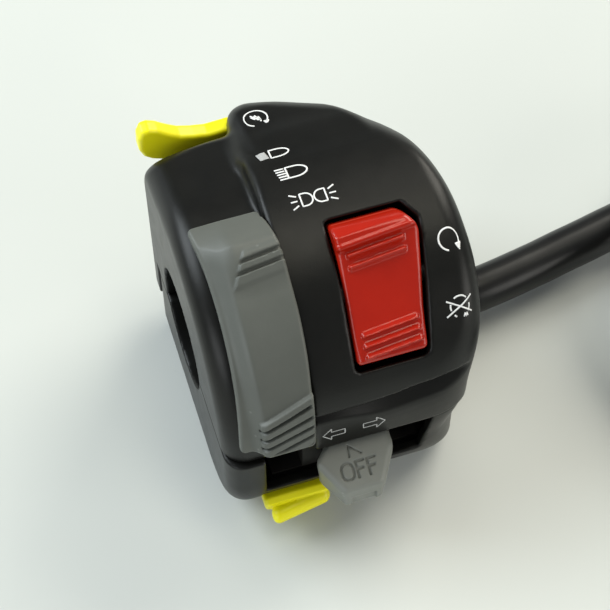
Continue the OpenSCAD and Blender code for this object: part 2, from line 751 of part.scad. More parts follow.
module light_plate_screws() color(steel_colour)
    for (a = light_screw_angles) at_angle(a) translate([slider_mid_x, 0, light_plate_top]) small_screw(6);

// Side view of the rocker about its pin, level
module rocker_side() polygon(rounded(
    [[-rocker_reach, -0.5], [-rocker_reach, 4.6], [-8.6, rocker_top + 0.5], [-7, rocker_top - 0.2],
     [7, rocker_top - 0.2], [8.6, rocker_top + 0.5], [rocker_reach, 4.6], [rocker_reach, -0.5],
     [3.2, -2.6], [-3.2, -2.6]],
    [0.8, 0.8, 1, 1, 1, 1, 0.8, 0.8, 0, 0]
));

module rocker_frame() at_angle(rocker_angle) translate([0, 0, rocker_pin_z]) rotate([rocker_tilt, 0, 0]) children();

module kill_rocker() color(red_colour) rocker_frame() difference() {
    x0 = rocker_mid_x - rocker_w / 2;
    x1 = rocker_mid_x + rocker_w / 2;
    union() {
        intersection() {
            along_x(x0, x1) rocker_side();
            rod_x([0, 0], rocker_reach, x0, x1);
        }
        for (y = rocker_ribs)
            rod_x([y, rocker_top - 0.25 + (abs(y) - rocker_ribs[3]) * -0.36], 0.55, x0 + 1.2, x1 - 1.2);
        rod([rocker_mid_x, 0], plunger_r + 1.2, -plunger_reach + 2.4, -2);
    }
    rod_x([0, 0], pin_r + pin_clearance, x0 - 1, x1 + 1);
    rod([rocker_mid_x, 0], plunger_r + seat_clearance, -far, -pin_r - 1.2);
}

module kill_pivot_pin() color(steel_colour)
    at_angle(rocker_angle) rod_x([0, rocker_pin_z], pin_r, rocker_pin_x[0], rocker_pin_x[1]);

module kill_plunger() color(brass_colour) rocker_frame() {
    rod([rocker_mid_x, 0], plunger_r, -plunger_reach + plunger_r, -pin_r - 1.2);
    translate([rocker_mid_x, 0, -plunger_reach + plunger_r]) sphere(r = plunger_r, $fn = 32);
}

module kill_contact_base() color(base_colour) at_angle(rocker_angle) difference() {
    block([rocker_mid_x - kill_base_half.x, -kill_base_half.y, kill_base_top - kill_base_t],
          [rocker_mid_x + kill_base_half.x, kill_base_half.y, kill_base_top]);
    for (y = [-kill_screw_y, kill_screw_y]) rod([rocker_mid_x, y], small_screw_r + 0.15, 0, far);
    for (x = kill_contact_x) block([x, -4.2, kill_base_top - 0.6], [x + 3, 4.2, far]);
}

kill_contact_x = [rocker_mid_x - 4.6, rocker_mid_x + 1.6];

module kill_contacts() color(brass_colour) at_angle(rocker_angle)
    for (x = kill_contact_x)
        block([x + seat_clearance, -4.2 + seat_clearance, kill_base_top - 0.6],
              [x + 3 - seat_clearance, 4.2 - seat_clearance, kill_base_top]);

module kill_base_screws() color(steel_colour) at_angle(rocker_angle)
    for (y = [-kill_screw_y, kill_screw_y]) translate([rocker_mid_x, y, kill_base_top]) small_screw(kill_base_t + 1.6);

module turn_knob() color(grey_colour) {
    root_y = -front_y - 0.5;
    tip_y = -front_y - lip_flare - knob_reach;
    tip_half = knob_w * 0.28;
    intersection() {
        along_z(knob_z[0], knob_z[1]) polygon(rounded(
            [[turn_x - knob_w / 2, root_y], [turn_x + knob_w / 2, root_y], [turn_x + knob_w / 2, root_y - 1.6],
             [turn_x + tip_half, tip_y], [turn_x - tip_half, tip_y], [turn_x - knob_w / 2, root_y - 1.6]],
            [0, 0, 1, 1, 1, 1]
        ));
        along_x(turn_x - knob_w, turn_x + knob_w) polygon(rounded(
            [[root_y, knob_z[0]], [root_y, knob_z[1]], [root_y - 1, knob_z[1]], [tip_y, knob_z[1] - 2.6],
             [tip_y, knob_z[0] + 0.6], [tip_y + 1.5, knob_z[0]]],
            [0, 0, 0.4, 0.8, 0.4, 0.8]
        ));
    }
    block([turn_x - stem_half_w, root_y - 0.1, stem_z[0]], [turn_x + stem_half_w, stem_end, stem_z[1]]);
}

module turn_carriage() color(base_colour) difference() {
    block([turn_x - carriage_half_w, carriage_front, carriage_bottom],
          [turn_x + carriage_half_w, carriage_back, carriage_top]);
    block([turn_x - stem_half_w - 0.15, carriage_front - 1, stem_z[0] - 0.15],
          [turn_x + stem_half_w + 0.15, socket_floor, stem_z[1] + 0.15]);
    block([turn_x - far, rail_y[0] - slide_clearance, carriage_bottom - 1],
          [turn_x + far, rail_y[1] + slide_clearance, tray_top + rail_h + slide_clearance]);
}

module turn_contact_bridge() color(brass_colour) {
    block([turn_x - 5, carriage_back, -7.5], [turn_x + 5, carriage_back + 0.5, -4.5]);
    for (x = [-5, 3.5]) block([turn_x + x, carriage_back, -7], [turn_x + x + 1.5, board_front - 0.6, -5]);
}

module turn_spring() color(steel_colour)
    translate([turn_x, stem_end + 0.4, -5.7]) rotate([-90, 0, 0])
        spring(helix(2, socket_floor - stem_end - 0.8, 2), 0.25);

module turn_tray() color(base_colour) difference() {
    union() {
        block([tray_left, tray_front, tray_top - tray_t], [tray_right, tray_back, tray_top]);
        block([tray_left, rail_y[0], tray_top - 0.1], [tray_right, rail_y[1], tray_top + rail_h]);
        block([tray_left, board_front, tray_top - 0.1], [tray_right, board_front + board_t, carriage_top]);
    }
    for (p = tray_screw_places) rod(p, small_screw_r + 0.15, -far, far);
    for (x = turn_contact_x) block([x, board_front - 1, -8], [x + 3, board_front + 0.4, -4]);
}

turn_contact_x = [for (i = [-1:1]) turn_x - 1.5 + i * turn_slide];

module turn_contacts() color(brass_colour)
    for (x = turn_contact_x)
        block([x + seat_clearance, board_front - 0.3, -8 + seat_clearance],
              [x + 3 - seat_clearance, board_front + 0.4, -4 - seat_clearance]);

module turn_tray_screws() color(steel_colour)
    for (p = tray_screw_places) translate([p.x, p.y, tray_top]) small_screw(tray_t + 5);

module starter_lever() color(yellow_colour) difference() {
    union() {
        along_y(starter_y[0], starter_y[1]) polygon(rounded(
            [[starter_tip_x, starter_tip_z[0]], [starter_tip_x - 0.5, starter_tip_z[1]],
             [starter_dip_x, starter_dip_z], [starter_root_x, starter_root_z],
             [starter_root_x, starter_z[1]], [starter_pivot.x + 2, starter_z[1]],
             [starter_pivot.x + 2, starter_z[0]], [starter_root_x, starter_z[0]],
             [starter_dip_x, starter_under_z]],
            [3, 2, 8, 0.6, 0, 0, 0, 3, 6]
        ));
        rod(starter_pivot, starter_hub_r, starter_z[0], starter_z[1]);
    }
    rod(starter_pivot, pin_r + pin_clearance, -far, far);
}

module starter_pivot_pin() color(steel_colour) rod(starter_pivot, pin_r, starter_pin_z[0], starter_pin_z[1]);

module starter_switch_block() color(base_colour) difference() {
    block([switch_x[0], switch_y[0], switch_z[0]], [switch_x[1], switch_y[1], switch_z[1]]);
    translate([starter_plunger_x, switch_y[1] - 3, plunger_z]) rotate([-90, 0, 0])
        cylinder(r = plunger_tip_r + seat_clearance, h = 6, $fn = fine);
}

module starter_plunger() color(brass_colour)
    translate([starter_plunger_x, switch_y[1] - 3, plunger_z]) rotate([-90, 0, 0])
        cylinder(r = plunger_tip_r, h = 3 + plunger_out, $fn = fine);

module starter_spring() color(steel_colour)
    translate([starter_spring_x, switch_y[1] + 0.25, plunger_z]) rotate([-90, 0, 0])
        spring(helix(0.9, starter_y[0] - switch_y[1] - 0.5, 2), 0.2);

// Side view of the horn lever's arm
module horn_arm_side() polygon([
    [horn_pivot.x, horn_pivot.y + horn_hub_r - 0.1], [horn_arm_end, horn_top_z], [horn_arm_end, horn_low_z],
    [horn_pivot.x, horn_pivot.y - horn_hub_r + 0.1]
]);

module horn_lever() color(yellow_colour) difference() {
    union() {
        along_x(horn_arm_x[0], horn_arm_x[1]) {
            horn_arm_side();
            translate(horn_pivot) circle(r = horn_hub_r, $fn = fine);
        }
        intersection() {
            along_x(horn_x0, horn_x1) polygon(rounded(
                [[horn_tongue_root, horn_top_z], horn_crest, [horn_tip_y, horn_nose_z[1]],
                 [horn_tip_y, horn_nose_z[0]], horn_belly, [horn_tongue_root, horn_low_z]],
                [0, 1.5, 1, 1, 1.5, 0]
            ));
            along_z(-far, 0) polygon(rounded(
                [[horn_x0, horn_arm_end + 1], [horn_x0, horn_tip_y], [horn_x1, horn_tip_y + 2.6], [horn_x1, horn_arm_end + 1]],
                [0, 3, 2, 0]
            ));
        }
    }
    rod_x(horn_pivot, horn_pin_r + pin_clearance, -far, far);
}

module horn_pivot_pin() color(steel_colour) rod_x(horn_pivot, horn_pin_r, horn_pin_x[0], horn_pin_x[1]);

horn_contact_x = (horn_arm_x[0] + horn_arm_x[1]) / 2;

module horn_moving_contact() color(brass_colour) difference() {
    rod([horn_contact_x, horn_contact_y], 1.2, horn_top_z - 0.7, horn_top_z + 0.4);
    along_x(-far, far) horn_arm_side();
}

module horn_fixed_contact() color(brass_colour)
    block([horn_arm_x[0], horn_contact_y - 1, tray_top - tray_t - 0.4],
          [horn_arm_x[1], horn_contact_y + 1.4, tray_top - tray_t]);

module horn_spring() color(steel_colour)
    translate([horn_contact_x, horn_spring_y, horn_top_z - 0.2])
        spring(helix(1.5, tray_top - tray_t - horn_top_z - 0.1, 3), 0.25);

module cable_grommet() color(rubber_colour) translate([0, cable_y, cable_z]) rotate([0, 90, 0])
    rotate_extrude($fn = fine) polygon([
        [cable_r + seat_clearance, lower_right - wall], [cable_r + 1, lower_right - wall],
        [cable_r + 1, lower_right + 0.1], [cable_r + 2.2, lower_right + 0.1],
        [cable_r + 2.2, lower_right + 1.6], [cable_r + 1, exit_x], [cable_r + seat_clearance, exit_x]
    ]);

module cable_entry() color(rubber_colour) rod_x([cable_y, cable_z], cable_r, cable_inner_x, exit_x);

module cable_clamp() color(steel_colour) difference() {
    along_x(clamp_x[0], clamp_x[1]) difference() {
        union() {
            translate([cable_y, cable_z]) circle(r = cable_r + 0.1 + clamp_t, $fn = fine);
            translate([clamp_post_y[0] - 2.2, clamp_post_z])
                square([clamp_post_y[1] - clamp_post_y[0] + 4.4, clamp_t]);
        }
        translate([cable_y, cable_z]) circle(r = cable_r + 0.1, $fn = fine);
        translate([-far, clamp_post_z - far]) square([2 * far, far]);
    }
    for (y = clamp_post_y) rod([(clamp_x[0] + clamp_x[1]) / 2, y], small_screw_r + 0.15, -far, far);
}

module cable_clamp_screws() color(steel_colour)
    for (y = clamp_post_y) translate([(clamp_x[0] + clamp_x[1]) / 2, y, clamp_post_z + clamp_t]) small_screw(clamp_t + 2);

module cable_lead() color(rubber_colour) tube(lead_points, cable_r, 12, [0, 0, 1], [[1, 0, 0], coil_heading]);

module cable_coil() color(rubber_colour) tube(coil_path, cable_r, 6, [0, 0, 1], [coil_heading, [1, 0, 0]]);

// Strap round the two strands beside each other near the coil's end
module cable_tie() color(rubber_colour) {
    x = coil_end.x + 6;
    y_in = coil_centre.y + sqrt(pow(coil_r(80), 2) - 121) - cable_r - 0.6;
    y_out = coil_end.y + cable_r + 0.3;
    z0 = coil_z - cable_r - 0.15;
    z1 = coil_z + cable_r + 0.15;
    difference() {
        block([x, y_in - tie_t, z0 - tie_t], [x + 5, y_out + tie_t, z1 + tie_t]);
        block([x - 1, y_in, z0], [x + 6, y_out, z1]);
    }
    block([x - 0.8, y_out + tie_t - 0.1, coil_z - 3], [x + 5.8, y_out + tie_t + 3.4, coil_z + 3]);
}

connector_from = [coil_end.x + coil_tail, coil_end.y, coil_z];

module connector_shell() color(rubber_colour) translate(connector_from) difference() {
    union() {
        block([0, -connector_size.y / 2, -connector_size.z / 2],
              [connector_size.x, connector_size.y / 2, connector_size.z / 2]);
        block([6, -3, connector_size.z / 2 - 0.1], [26, 3, connector_size.z / 2 + 1.6]);
        block([4, -connector_size.y / 2 - 1, -2], [8, connector_size.y / 2 + 1, 2]);
    }
    for (i = [-1.5:1.5], j = [-0.5, 0.5])
        translate([connector_size.x - 12, i * 3.8, j * 4.6]) rotate([0, 90, 0])
            cylinder(r = terminal_r + 0.4, h = 20, $fn = fine);
}

module connector_terminals() color(brass_colour) translate(connector_from)
    for (i = [-1.5:1.5], j = [-0.5, 0.5])
        translate([connector_size.x - 12, i * 3.8, j * 4.6]) rotate([0, 90, 0]) difference() {
            cylinder(r = terminal_r, h = 11, $fn = fine);
            translate([0, 0, 3]) cylinder(r = terminal_r * 0.55, h = 20, $fn = fine);
        }

upper_housing();
lower_housing();
housing_screws();
thread_inserts();
light_slider();
slider_shoe();
slider_contact_bridge();
slider_detent_ball();
light_contact_plate();
light_plate_screws();
kill_rocker();
kill_pivot_pin();
kill_plunger();
kill_contact_base();
kill_contacts();
kill_base_screws();
turn_knob();
turn_carriage();
turn_contact_bridge();
turn_spring();
turn_tray();
turn_contacts();
turn_tray_screws();
starter_lever();
starter_pivot_pin();
starter_switch_block();
starter_plunger();
starter_spring();
horn_lever();
horn_pivot_pin();
horn_moving_contact();
horn_fixed_contact();
horn_spring();
cable_grommet();
cable_entry();
cable_clamp();
cable_clamp_screws();
cable_lead();
cable_coil();
cable_tie();
connector_shell();
connector_terminals();
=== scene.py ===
import math

import bpy
import numpy as np
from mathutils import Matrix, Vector


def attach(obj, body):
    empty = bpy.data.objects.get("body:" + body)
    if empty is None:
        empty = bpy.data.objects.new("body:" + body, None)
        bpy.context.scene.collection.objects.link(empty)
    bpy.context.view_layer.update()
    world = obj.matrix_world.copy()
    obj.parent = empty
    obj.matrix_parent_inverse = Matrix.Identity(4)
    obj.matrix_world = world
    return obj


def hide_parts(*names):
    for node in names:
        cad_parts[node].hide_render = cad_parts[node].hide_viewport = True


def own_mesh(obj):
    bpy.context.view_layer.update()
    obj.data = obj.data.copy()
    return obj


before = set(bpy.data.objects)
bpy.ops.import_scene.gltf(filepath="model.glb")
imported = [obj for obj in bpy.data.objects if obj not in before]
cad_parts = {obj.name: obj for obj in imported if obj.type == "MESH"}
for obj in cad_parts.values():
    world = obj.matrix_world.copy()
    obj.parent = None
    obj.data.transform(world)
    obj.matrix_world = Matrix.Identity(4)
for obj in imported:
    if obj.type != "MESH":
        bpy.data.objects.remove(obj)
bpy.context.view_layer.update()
MM = 0.001

# Sizes of the object in millimetres, as in the part's source
BORE_R, SADDLE_R = 11.15, 13.15
X_LEFT, X_RIGHT, LOWER_RIGHT = -23.5, 23.5, 22.5
STEP_X, BAND_R, BARREL_R, WALL = -8.3, 28.6, 31.0, 2.2
BACK_Y, FRONT_Y, BASE_Z = 23.0, 29.8, -25.0
ROCKER_ANGLE, ROCKER_PIN, ROCKER_X, ROCKER_TILT, ROCKER_FLARE = 58.0, 25.0, 7.45, 7.0, 1.6
TURN_X, STEM_END, SOCKET_FLOOR = -1.5, -23.2, -20.6
STARTER_PIVOT = (2.0, 26.5)
HORN_PIVOT, HORN_X = (-15.0, -19.5), -10.65
PIN_HOLE_R, HORN_PIN_HOLE_R = 1.56, 1.26
CABLE_R, CABLE_Y, CABLE_Z, EXIT_X = 4.25, 1.5, -18.5, 29.5
COIL_Z = -19.6

# Camera at the photograph's angle
CAMERA_AT = Vector((-53.6, -168.9, 303.1)) * MM
CAMERA_TO = Vector((-1.2, -1.89, 0.0)) * MM
camera_data = bpy.data.cameras.new("camera")
camera_data.sensor_width = 36
camera_data.lens = 115.7
camera_data.clip_start = 0.01
camera = bpy.data.objects.new("camera", camera_data)
camera.location = CAMERA_AT
camera.rotation_euler = (CAMERA_TO - CAMERA_AT).to_track_quat("-Z", "Y").to_euler()
bpy.context.scene.collection.objects.link(camera)
bpy.context.scene.camera = camera


def new_mesh(name, points, faces, body, material, slot, replaces=()):
    """A smooth mesh in millimetres that rides on a body."""
    mesh = bpy.data.meshes.new(name)
    mesh.from_pydata((np.asarray(points, float) * MM).tolist(), [], faces)
    mesh.update()
    mesh.shade_smooth()
    piece = bpy.data.objects.new(name, mesh)
    bpy.context.scene.collection.objects.link(piece)
    piece.data.materials.append(material)
    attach(piece, body)
    if replaces:
        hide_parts(*replaces)
    return piece


# Materials
def shader(name, colour, roughness, metal=0.0, subsurface=0.0, gloss=0.5):
    """A new material, its node tree and its Principled node."""
    material = bpy.data.materials.new(name)
    material.use_nodes = True
    tree = material.node_tree
    surface = tree.nodes["Principled BSDF"]
    surface.inputs["Base Color"].default_value = (*colour, 1)
    surface.inputs["Roughness"].default_value = roughness
    surface.inputs["Metallic"].default_value = metal
    surface.inputs["Specular IOR Level"].default_value = gloss
    if subsurface:
        surface.inputs["Subsurface Weight"].default_value = subsurface
        surface.inputs["Subsurface Radius"].default_value = (0.004, 0.003, 0.001)
    return material, tree, surface


def noise(tree, scale, detail=4.0, roughness=0.55):
    """Noise over the object's own coordinates, in metres."""
    place = tree.nodes.new("ShaderNodeTexCoord")
    texture = tree.nodes.new("ShaderNodeTexNoise")
    texture.inputs["Scale"].default_value = scale
    texture.inputs["Detail"].default_value = detail
    texture.inputs["Roughness"].default_value = roughness
    tree.links.new(place.outputs["Object"], texture.inputs["Vector"])
    return texture.outputs["Fac"]


def ramp(tree, factor, low, high, start, end):
    """A colour ramp between two colours."""
    node = tree.nodes.new("ShaderNodeValToRGB")
    node.color_ramp.elements[0].position = start
    node.color_ramp.elements[0].color = (*low, 1)
    node.color_ramp.elements[1].position = end
    node.color_ramp.elements[1].color = (*high, 1)
    tree.links.new(factor, node.inputs["Fac"])
    return node.outputs["Color"]


def span(tree, factor, low, high):
    """Maps a factor from 0..1 to a range."""
    node = tree.nodes.new("ShaderNodeMapRange")
    node.inputs["To Min"].default_value = low
    node.inputs["To Max"].default_value = high
    tree.links.new(factor, node.inputs["Value"])
    return node.outputs["Result"]


def mix(tree, factor, a, b):
    """Mixes two colours by a factor."""
    node = tree.nodes.new("ShaderNodeMix")
    node.data_type = "RGBA"
    tree.links.new(factor, node.inputs[0])
    for value, socket in ((a, node.inputs[6]), (b, node.inputs[7])):
        if isinstance(value, tuple):
            socket.default_value = (*value, 1)
        else:
            tree.links.new(value, socket)
    return node.outputs[2]


def edges(tree, start, end):
    """Rises from 0 to 1 as the surface's convexity goes from start to end."""
    geometry = tree.nodes.new("ShaderNodeNewGeometry")
    low, high = (0, 0, 0), (1, 1, 1)
    if start > end:
        start, end, low, high = end, start, high, low
    return ramp(tree, geometry.outputs["Pointiness"], low, high, start, end)


def add_bump(tree, surface, height, strength, distance):
    """Bump from a height, chained behind any bump that is already there."""
    bump = tree.nodes.new("ShaderNodeBump")
    bump.inputs["Strength"].default_value = strength
    bump.inputs["Distance"].default_value = distance
    tree.links.new(height, bump.inputs["Height"])
    if surface.inputs["Normal"].links:
        tree.links.new(surface.inputs["Normal"].links[0].from_socket, bump.inputs["Normal"])
    tree.links.new(bump.outputs["Normal"], surface.inputs["Normal"])


# Noise scales per metre, bump depths in metres and shares of the surface's convexity
CLOUD_SCALE, GLOSS_SCALE, GRAIN_SCALE, DIMPLE_SCALE = 90, 260, 3800, 420
GRAIN_DEPTH, DIMPLE_DEPTH, DIMPLE_SHARE = 0.00006, 0.00012, 0.5
# Convexity where worn edges begin, and where the painted shade of grooves begins and is full
WEAR_FROM, WEAR_SPAN, GROOVE_SHADE_FROM, GROOVE_SHADE_FULL = 0.53, 0.12, 0.47, 0.36
STAIN_SCALE, SHINE_SCALE, SCRATCH_SCALE = 700, 1500, 5000
SCRATCH_STRENGTH, SCRATCH_DEPTH = 0.15, 0.00003


def plastic(name, colour, shade, wear, rough, grain, subsurface=0.0, wear_from=WEAR_FROM,
            gloss=0.5, groove_shade=0.0):
    """Moulded plastic: cloudy colour, worn edges, painted shade in its grooves, uneven gloss and a fine
    grain.
    """
    material, tree, surface = shader(name, colour, sum(rough) / 2, 0.0, subsurface, gloss)
    cloud = ramp(tree, noise(tree, CLOUD_SCALE), colour, shade, 0.35, 0.7)
    # Painted shade: the colour darkens where the surface is hollow, in grooves, corners and engraved
    # letters
    if groove_shade:
        groove_shaded = tuple(c * (1 - groove_shade) for c in colour)
        cloud = mix(tree, edges(tree, GROOVE_SHADE_FROM, GROOVE_SHADE_FULL), cloud, groove_shaded)
    worn = mix(tree, edges(tree, wear_from, wear_from + WEAR_SPAN), cloud, wear)
    tree.links.new(worn, surface.inputs["Base Color"])
    tree.links.new(span(tree, noise(tree, GLOSS_SCALE, 6), *rough), surface.inputs["Roughness"])
    add_bump(tree, surface, noise(tree, GRAIN_SCALE, 2), grain, GRAIN_DEPTH)
    add_bump(tree, surface, noise(tree, DIMPLE_SCALE, 3), grain * DIMPLE_SHARE, DIMPLE_DEPTH)
    return material


def metal(name, colour, shade, rough):
    """Worked metal with fine scratches."""
    material, tree, surface = shader(name, colour, sum(rough) / 2, 1.0)
    stain = ramp(tree, noise(tree, STAIN_SCALE, 5), colour, shade, 0.35, 0.75)
    tree.links.new(stain, surface.inputs["Base Color"])
    tree.links.new(span(tree, noise(tree, SHINE_SCALE, 3), *rough), surface.inputs["Roughness"])
    add_bump(tree, surface, noise(tree, SCRATCH_SCALE, 2), SCRATCH_STRENGTH, SCRATCH_DEPTH)
    return material


# Each plastic: its colour, a second shade, its worn edges, its roughness and its grain
BLACK = plastic("housing_black", (0.0034, 0.0036, 0.003), (0.0054, 0.0052, 0.0042),
                (0.013, 0.0125, 0.0105), (0.3, 0.43), 0.2, wear_from=0.55, gloss=0.27)
GREY = plastic("grey_plastic", (0.09, 0.096, 0.085), (0.104, 0.11, 0.098),
               (0.15, 0.156, 0.144), (0.38, 0.5), 0.18, gloss=0.4, groove_shade=0.75)
# The knob's grey is a lighter copy of the grey plastic: painted light that brightens the knob's top
LIT_KNOB_GREY = plastic("painted_light_knob_grey", (0.185, 0.193, 0.173), (0.205, 0.213, 0.192),
                     (0.27, 0.277, 0.26), (0.38, 0.5), 0.18, gloss=0.4, groove_shade=0.6)
RED = plastic("red_plastic", (0.4, 0.013, 0.004), (0.35, 0.011, 0.0035),
              (0.46, 0.045, 0.026), (0.16, 0.26), 0.05, gloss=0.4, groove_shade=0.5)
YELLOW = plastic("yellow_plastic", (0.93, 0.87, 0.006), (0.86, 0.79, 0.005),
                 (0.95, 0.9, 0.04), (0.3, 0.42), 0.1, subsurface=0.12, gloss=0.4)
DARK = plastic("switch_plastic", (0.005, 0.005, 0.0045), (0.008, 0.0075, 0.0065),
               (0.014, 0.013, 0.011), (0.5, 0.65), 0.2, gloss=0.3)
SHEATH = plastic("cable_sheath", (0.0085, 0.0085, 0.0085), (0.012, 0.012, 0.0115),
                 (0.02, 0.02, 0.02), (0.26, 0.38), 0.08, gloss=0.3)
RUBBER = plastic("grommet_rubber", (0.011, 0.011, 0.011), (0.016, 0.016, 0.015),
                 (0.03, 0.03, 0.03), (0.55, 0.7), 0.3)
PLUG = plastic("plug_plastic", (0.016, 0.016, 0.016), (0.021, 0.021, 0.02),
               (0.05, 0.05, 0.05), (0.45, 0.6), 0.25)
PRINT = plastic("white_print", (0.74, 0.75, 0.73), (0.66, 0.67, 0.65),
                (0.8, 0.8, 0.8), (0.5, 0.6), 0.05)
DIM_PRINT = plastic("grey_print", (0.3, 0.315, 0.31), (0.35, 0.365, 0.36),
                    (0.45, 0.45, 0.45), (0.5, 0.6), 0.05)
BRASS = metal("brass", (0.6, 0.43, 0.18), (0.48, 0.34, 0.14), (0.25, 0.4))
STEEL = metal("zinc_steel", (0.52, 0.53, 0.54), (0.4, 0.41, 0.42), (0.28, 0.45))


# Cable: the route of the part's source, from the grommet over the table into one loop
COIL_CENTRE = (108.0, -24.6)
COIL_FROM, COIL_TO, COIL_R0, COIL_PITCH = 102.3, -270.0, 40.5, 9.2
COIL_CROSS, COIL_CROSS_SPAN, COIL_LIFT, COIL_TAIL = 139.0, 50.0, 9.6, 21.0
COIL_STEPS, TAIL_STEPS, CABLE_SPACING, CABLE_SIDES = 56, 4, 1.6, 28
LEAD = [
    (EXIT_X, CABLE_Y, CABLE_Z), (33, 1.6, -18.5), (36, 2, -18.6), (40, 2.7, -18.8), (44, 3.5, -19),
    (48, 4.3, -19.2), (53, 5.4, -19.3), (58, 6.4, -19.4), (63, 7.5, -19.5), (68, 8.5, COIL_Z),
    (74, 9.8, COIL_Z), (80, 11, COIL_Z), (86, 12.2, COIL_Z), (92, 13.4, COIL_Z),
]


def coil_point(angle):
    """A point of the coil, whose radius grows as the angle falls, with a low hump over the lead."""
    radius = COIL_R0 + COIL_PITCH * (COIL_FROM - angle) / 360
    off = abs(angle + 360 - COIL_CROSS)
    lift = 0.0
    if off <= COIL_CROSS_SPAN:
        lift = COIL_LIFT * math.cos(math.radians(90 * off / COIL_CROSS_SPAN)) ** 2
    return (COIL_CENTRE[0] + radius * math.cos(math.radians(angle)),
            COIL_CENTRE[1] + radius * math.sin(math.radians(angle)), COIL_Z + lift)


def smooth_path(points, spacing):
    """A Catmull-Rom curve through the points, sampled at an even spacing."""
    p = np.asarray(points, float)
    p = np.vstack([2 * p[0] - p[1], p, 2 * p[-1] - p[-2]])
    fine = []
    t = np.linspace(0, 1, 12, endpoint=False)[:, None]
    for a, b, c, d in zip(p[:-3], p[1:-2], p[2:-1], p[3:]):
        fine.append(0.5 * (2 * b + (c - a) * t + (2 * a - 5 * b + 4 * c - d) * t ** 2
                           + (3 * b - a - 3 * c + d) * t ** 3))
    fine = np.vstack(fine + [p[-2:-1]])
    run = np.concatenate([[0], np.cumsum(np.linalg.norm(np.diff(fine, axis=0), axis=1))])
    at = np.linspace(0, run[-1], max(2, int(round(run[-1] / spacing)) + 1))
    return np.stack([np.interp(at, run, fine[:, i]) for i in range(3)], 1), run[-1]


def tube(path, radius, sides, up=(0.0, 0.0, 1.0)):
    """Points and faces of a closed tube of one radius along a path."""
    heading = np.gradient(path, axis=0)
    heading /= np.linalg.norm(heading, axis=1, keepdims=True)
    side = np.cross(heading, up)
    side /= np.linalg.norm(side, axis=1, keepdims=True)
    above = np.cross(side, heading)
    turn = np.linspace(0, 2 * math.pi, sides, endpoint=False)
    ring = side[:, None] * np.cos(turn)[None, :, None] + above[:, None] * np.sin(turn)[None, :, None]
    points = (path[:, None] + ring * radius).reshape(-1, 3)
    faces = []
    for k in range(len(path) - 1):
        for i in range(sides):
            j = (i + 1) % sides
            faces.append((k * sides + i, k * sides + j, (k + 1) * sides + j, (k + 1) * sides + i))
    faces.append(tuple(range(sides))[::-1])
    faces.append(tuple(range((len(path) - 1) * sides, len(path) * sides)))
    return points, faces


coil_turn = [coil_point(COIL_FROM + (COIL_TO - COIL_FROM) * i / COIL_STEPS) for i in range(COIL_STEPS + 1)]
coil_end = coil_turn[-1]
coil_tail = [(coil_end[0] + COIL_TAIL * (i + 1) / TAIL_STEPS, coil_end[1], coil_end[2])
             for i in range(TAIL_STEPS)]
cable_path, cable_length = smooth_path(LEAD + coil_turn + coil_tail, CABLE_SPACING)
cable = new_mesh("cable", *tube(cable_path, CABLE_R, CABLE_SIDES), "housing", SHEATH, "cable_rubber",
                 ("cable_lead", "cable_coil"))


# Return springs inside the housing
SPRING_STEPS, SPRING_SIDES = 24, 10


def spring(name, node, body, axis, base, length, radius, wire, turns):
    """A helix of wire from its fixed end, base, along axis."""
    axis = np.array(axis, float)
    across = np.array((1.0, 0.0, 0.0))
    third = np.cross(axis, across)
    share = np.linspace(0, 1, turns * SPRING_STEPS + 1)[:, None]
    angle = 2 * math.pi * turns * share
    along = wire + share * (length - 2 * wire)
    path = np.array(base) + axis * along + radius * (across * np.cos(angle) + third * np.sin(angle))
    points, faces = tube(path, wire, SPRING_SIDES, axis)
    piece = new_mesh(name, points, faces, body, STEEL, "steel", (node,))
    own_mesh(piece)


spring("turn_return_spring", "turn_spring", "turn_carriage", axis=(0, -1, 0),
       base=(TURN_X, SOCKET_FLOOR, -5.7), length=2.3, radius=2.0, wire=0.25, turns=2)
spring("starter_return_spring", "starter_spring", "housing", axis=(0, 1, 0),
       base=(-1.0, 22.4, 11.0), length=2.4, radius=0.9, wire=0.2, turns=2)
spring("horn_return_spring", "horn_spring", "housing", axis=(0, 0, -1),
       base=(HORN_X, -21.5, -13.2), length=2.6, radius=1.5, wire=0.25, turns=3)


# Distance fields: negative inside, in millimetres
def rmax(a, b, r):
    """What two solids share, with its edge rounded by r."""
    return np.minimum(np.maximum(a, b), -r) + np.hypot(np.maximum(a + r, 0), np.maximum(b + r, 0))


def rmin(a, b, r):
    """Two solids together, with a fillet of radius r between them."""
    return -rmax(-a, -b, r)


def ramp01(x, a, b):
    """Smooth rise from 0 at a to 1 at b."""
    t = np.clip((x - a) / (b - a), 0, 1)
    return t * t * (3 - 2 * t)


def box2(u, v, half_u, half_v, r):
    """Distance to a rounded rectangle about the origin."""
    a = np.abs(u) - (half_u - r)
    b = np.abs(v) - (half_v - r)
    return np.hypot(np.maximum(a, 0), np.maximum(b, 0)) + np.minimum(np.maximum(a, b), 0) - r


def polygon2(u, v, points):
    """Distance to a polygon."""
    best = np.full(np.broadcast(u, v).shape, 1e9)
    inside = np.zeros(best.shape, bool)
    for (ax, ay), (bx, by) in zip(points, points[1:] + points[:1]):
        dx, dy = bx - ax, by - ay
        t = np.clip(((u - ax) * dx + (v - ay) * dy) / (dx * dx + dy * dy), 0, 1)
        best = np.minimum(best, np.hypot(u - ax - t * dx, v - ay - t * dy))
        if by != ay:
            inside ^= ((ay > v) != (by > v)) & (u < (bx - ax) * (v - ay) / (by - ay) + ax)
    return np.where(inside, -best, best)


def stroke2(u, v, a, b, r):
    """Distance to a line of half width r."""
    dx, dy = b[0] - a[0], b[1] - a[1]
    t = np.clip(((u - a[0]) * dx + (v - a[1]) * dy) / (dx * dx + dy * dy), 0, 1)
    return np.hypot(u - a[0] - t * dx, v - a[1] - t * dy) - r


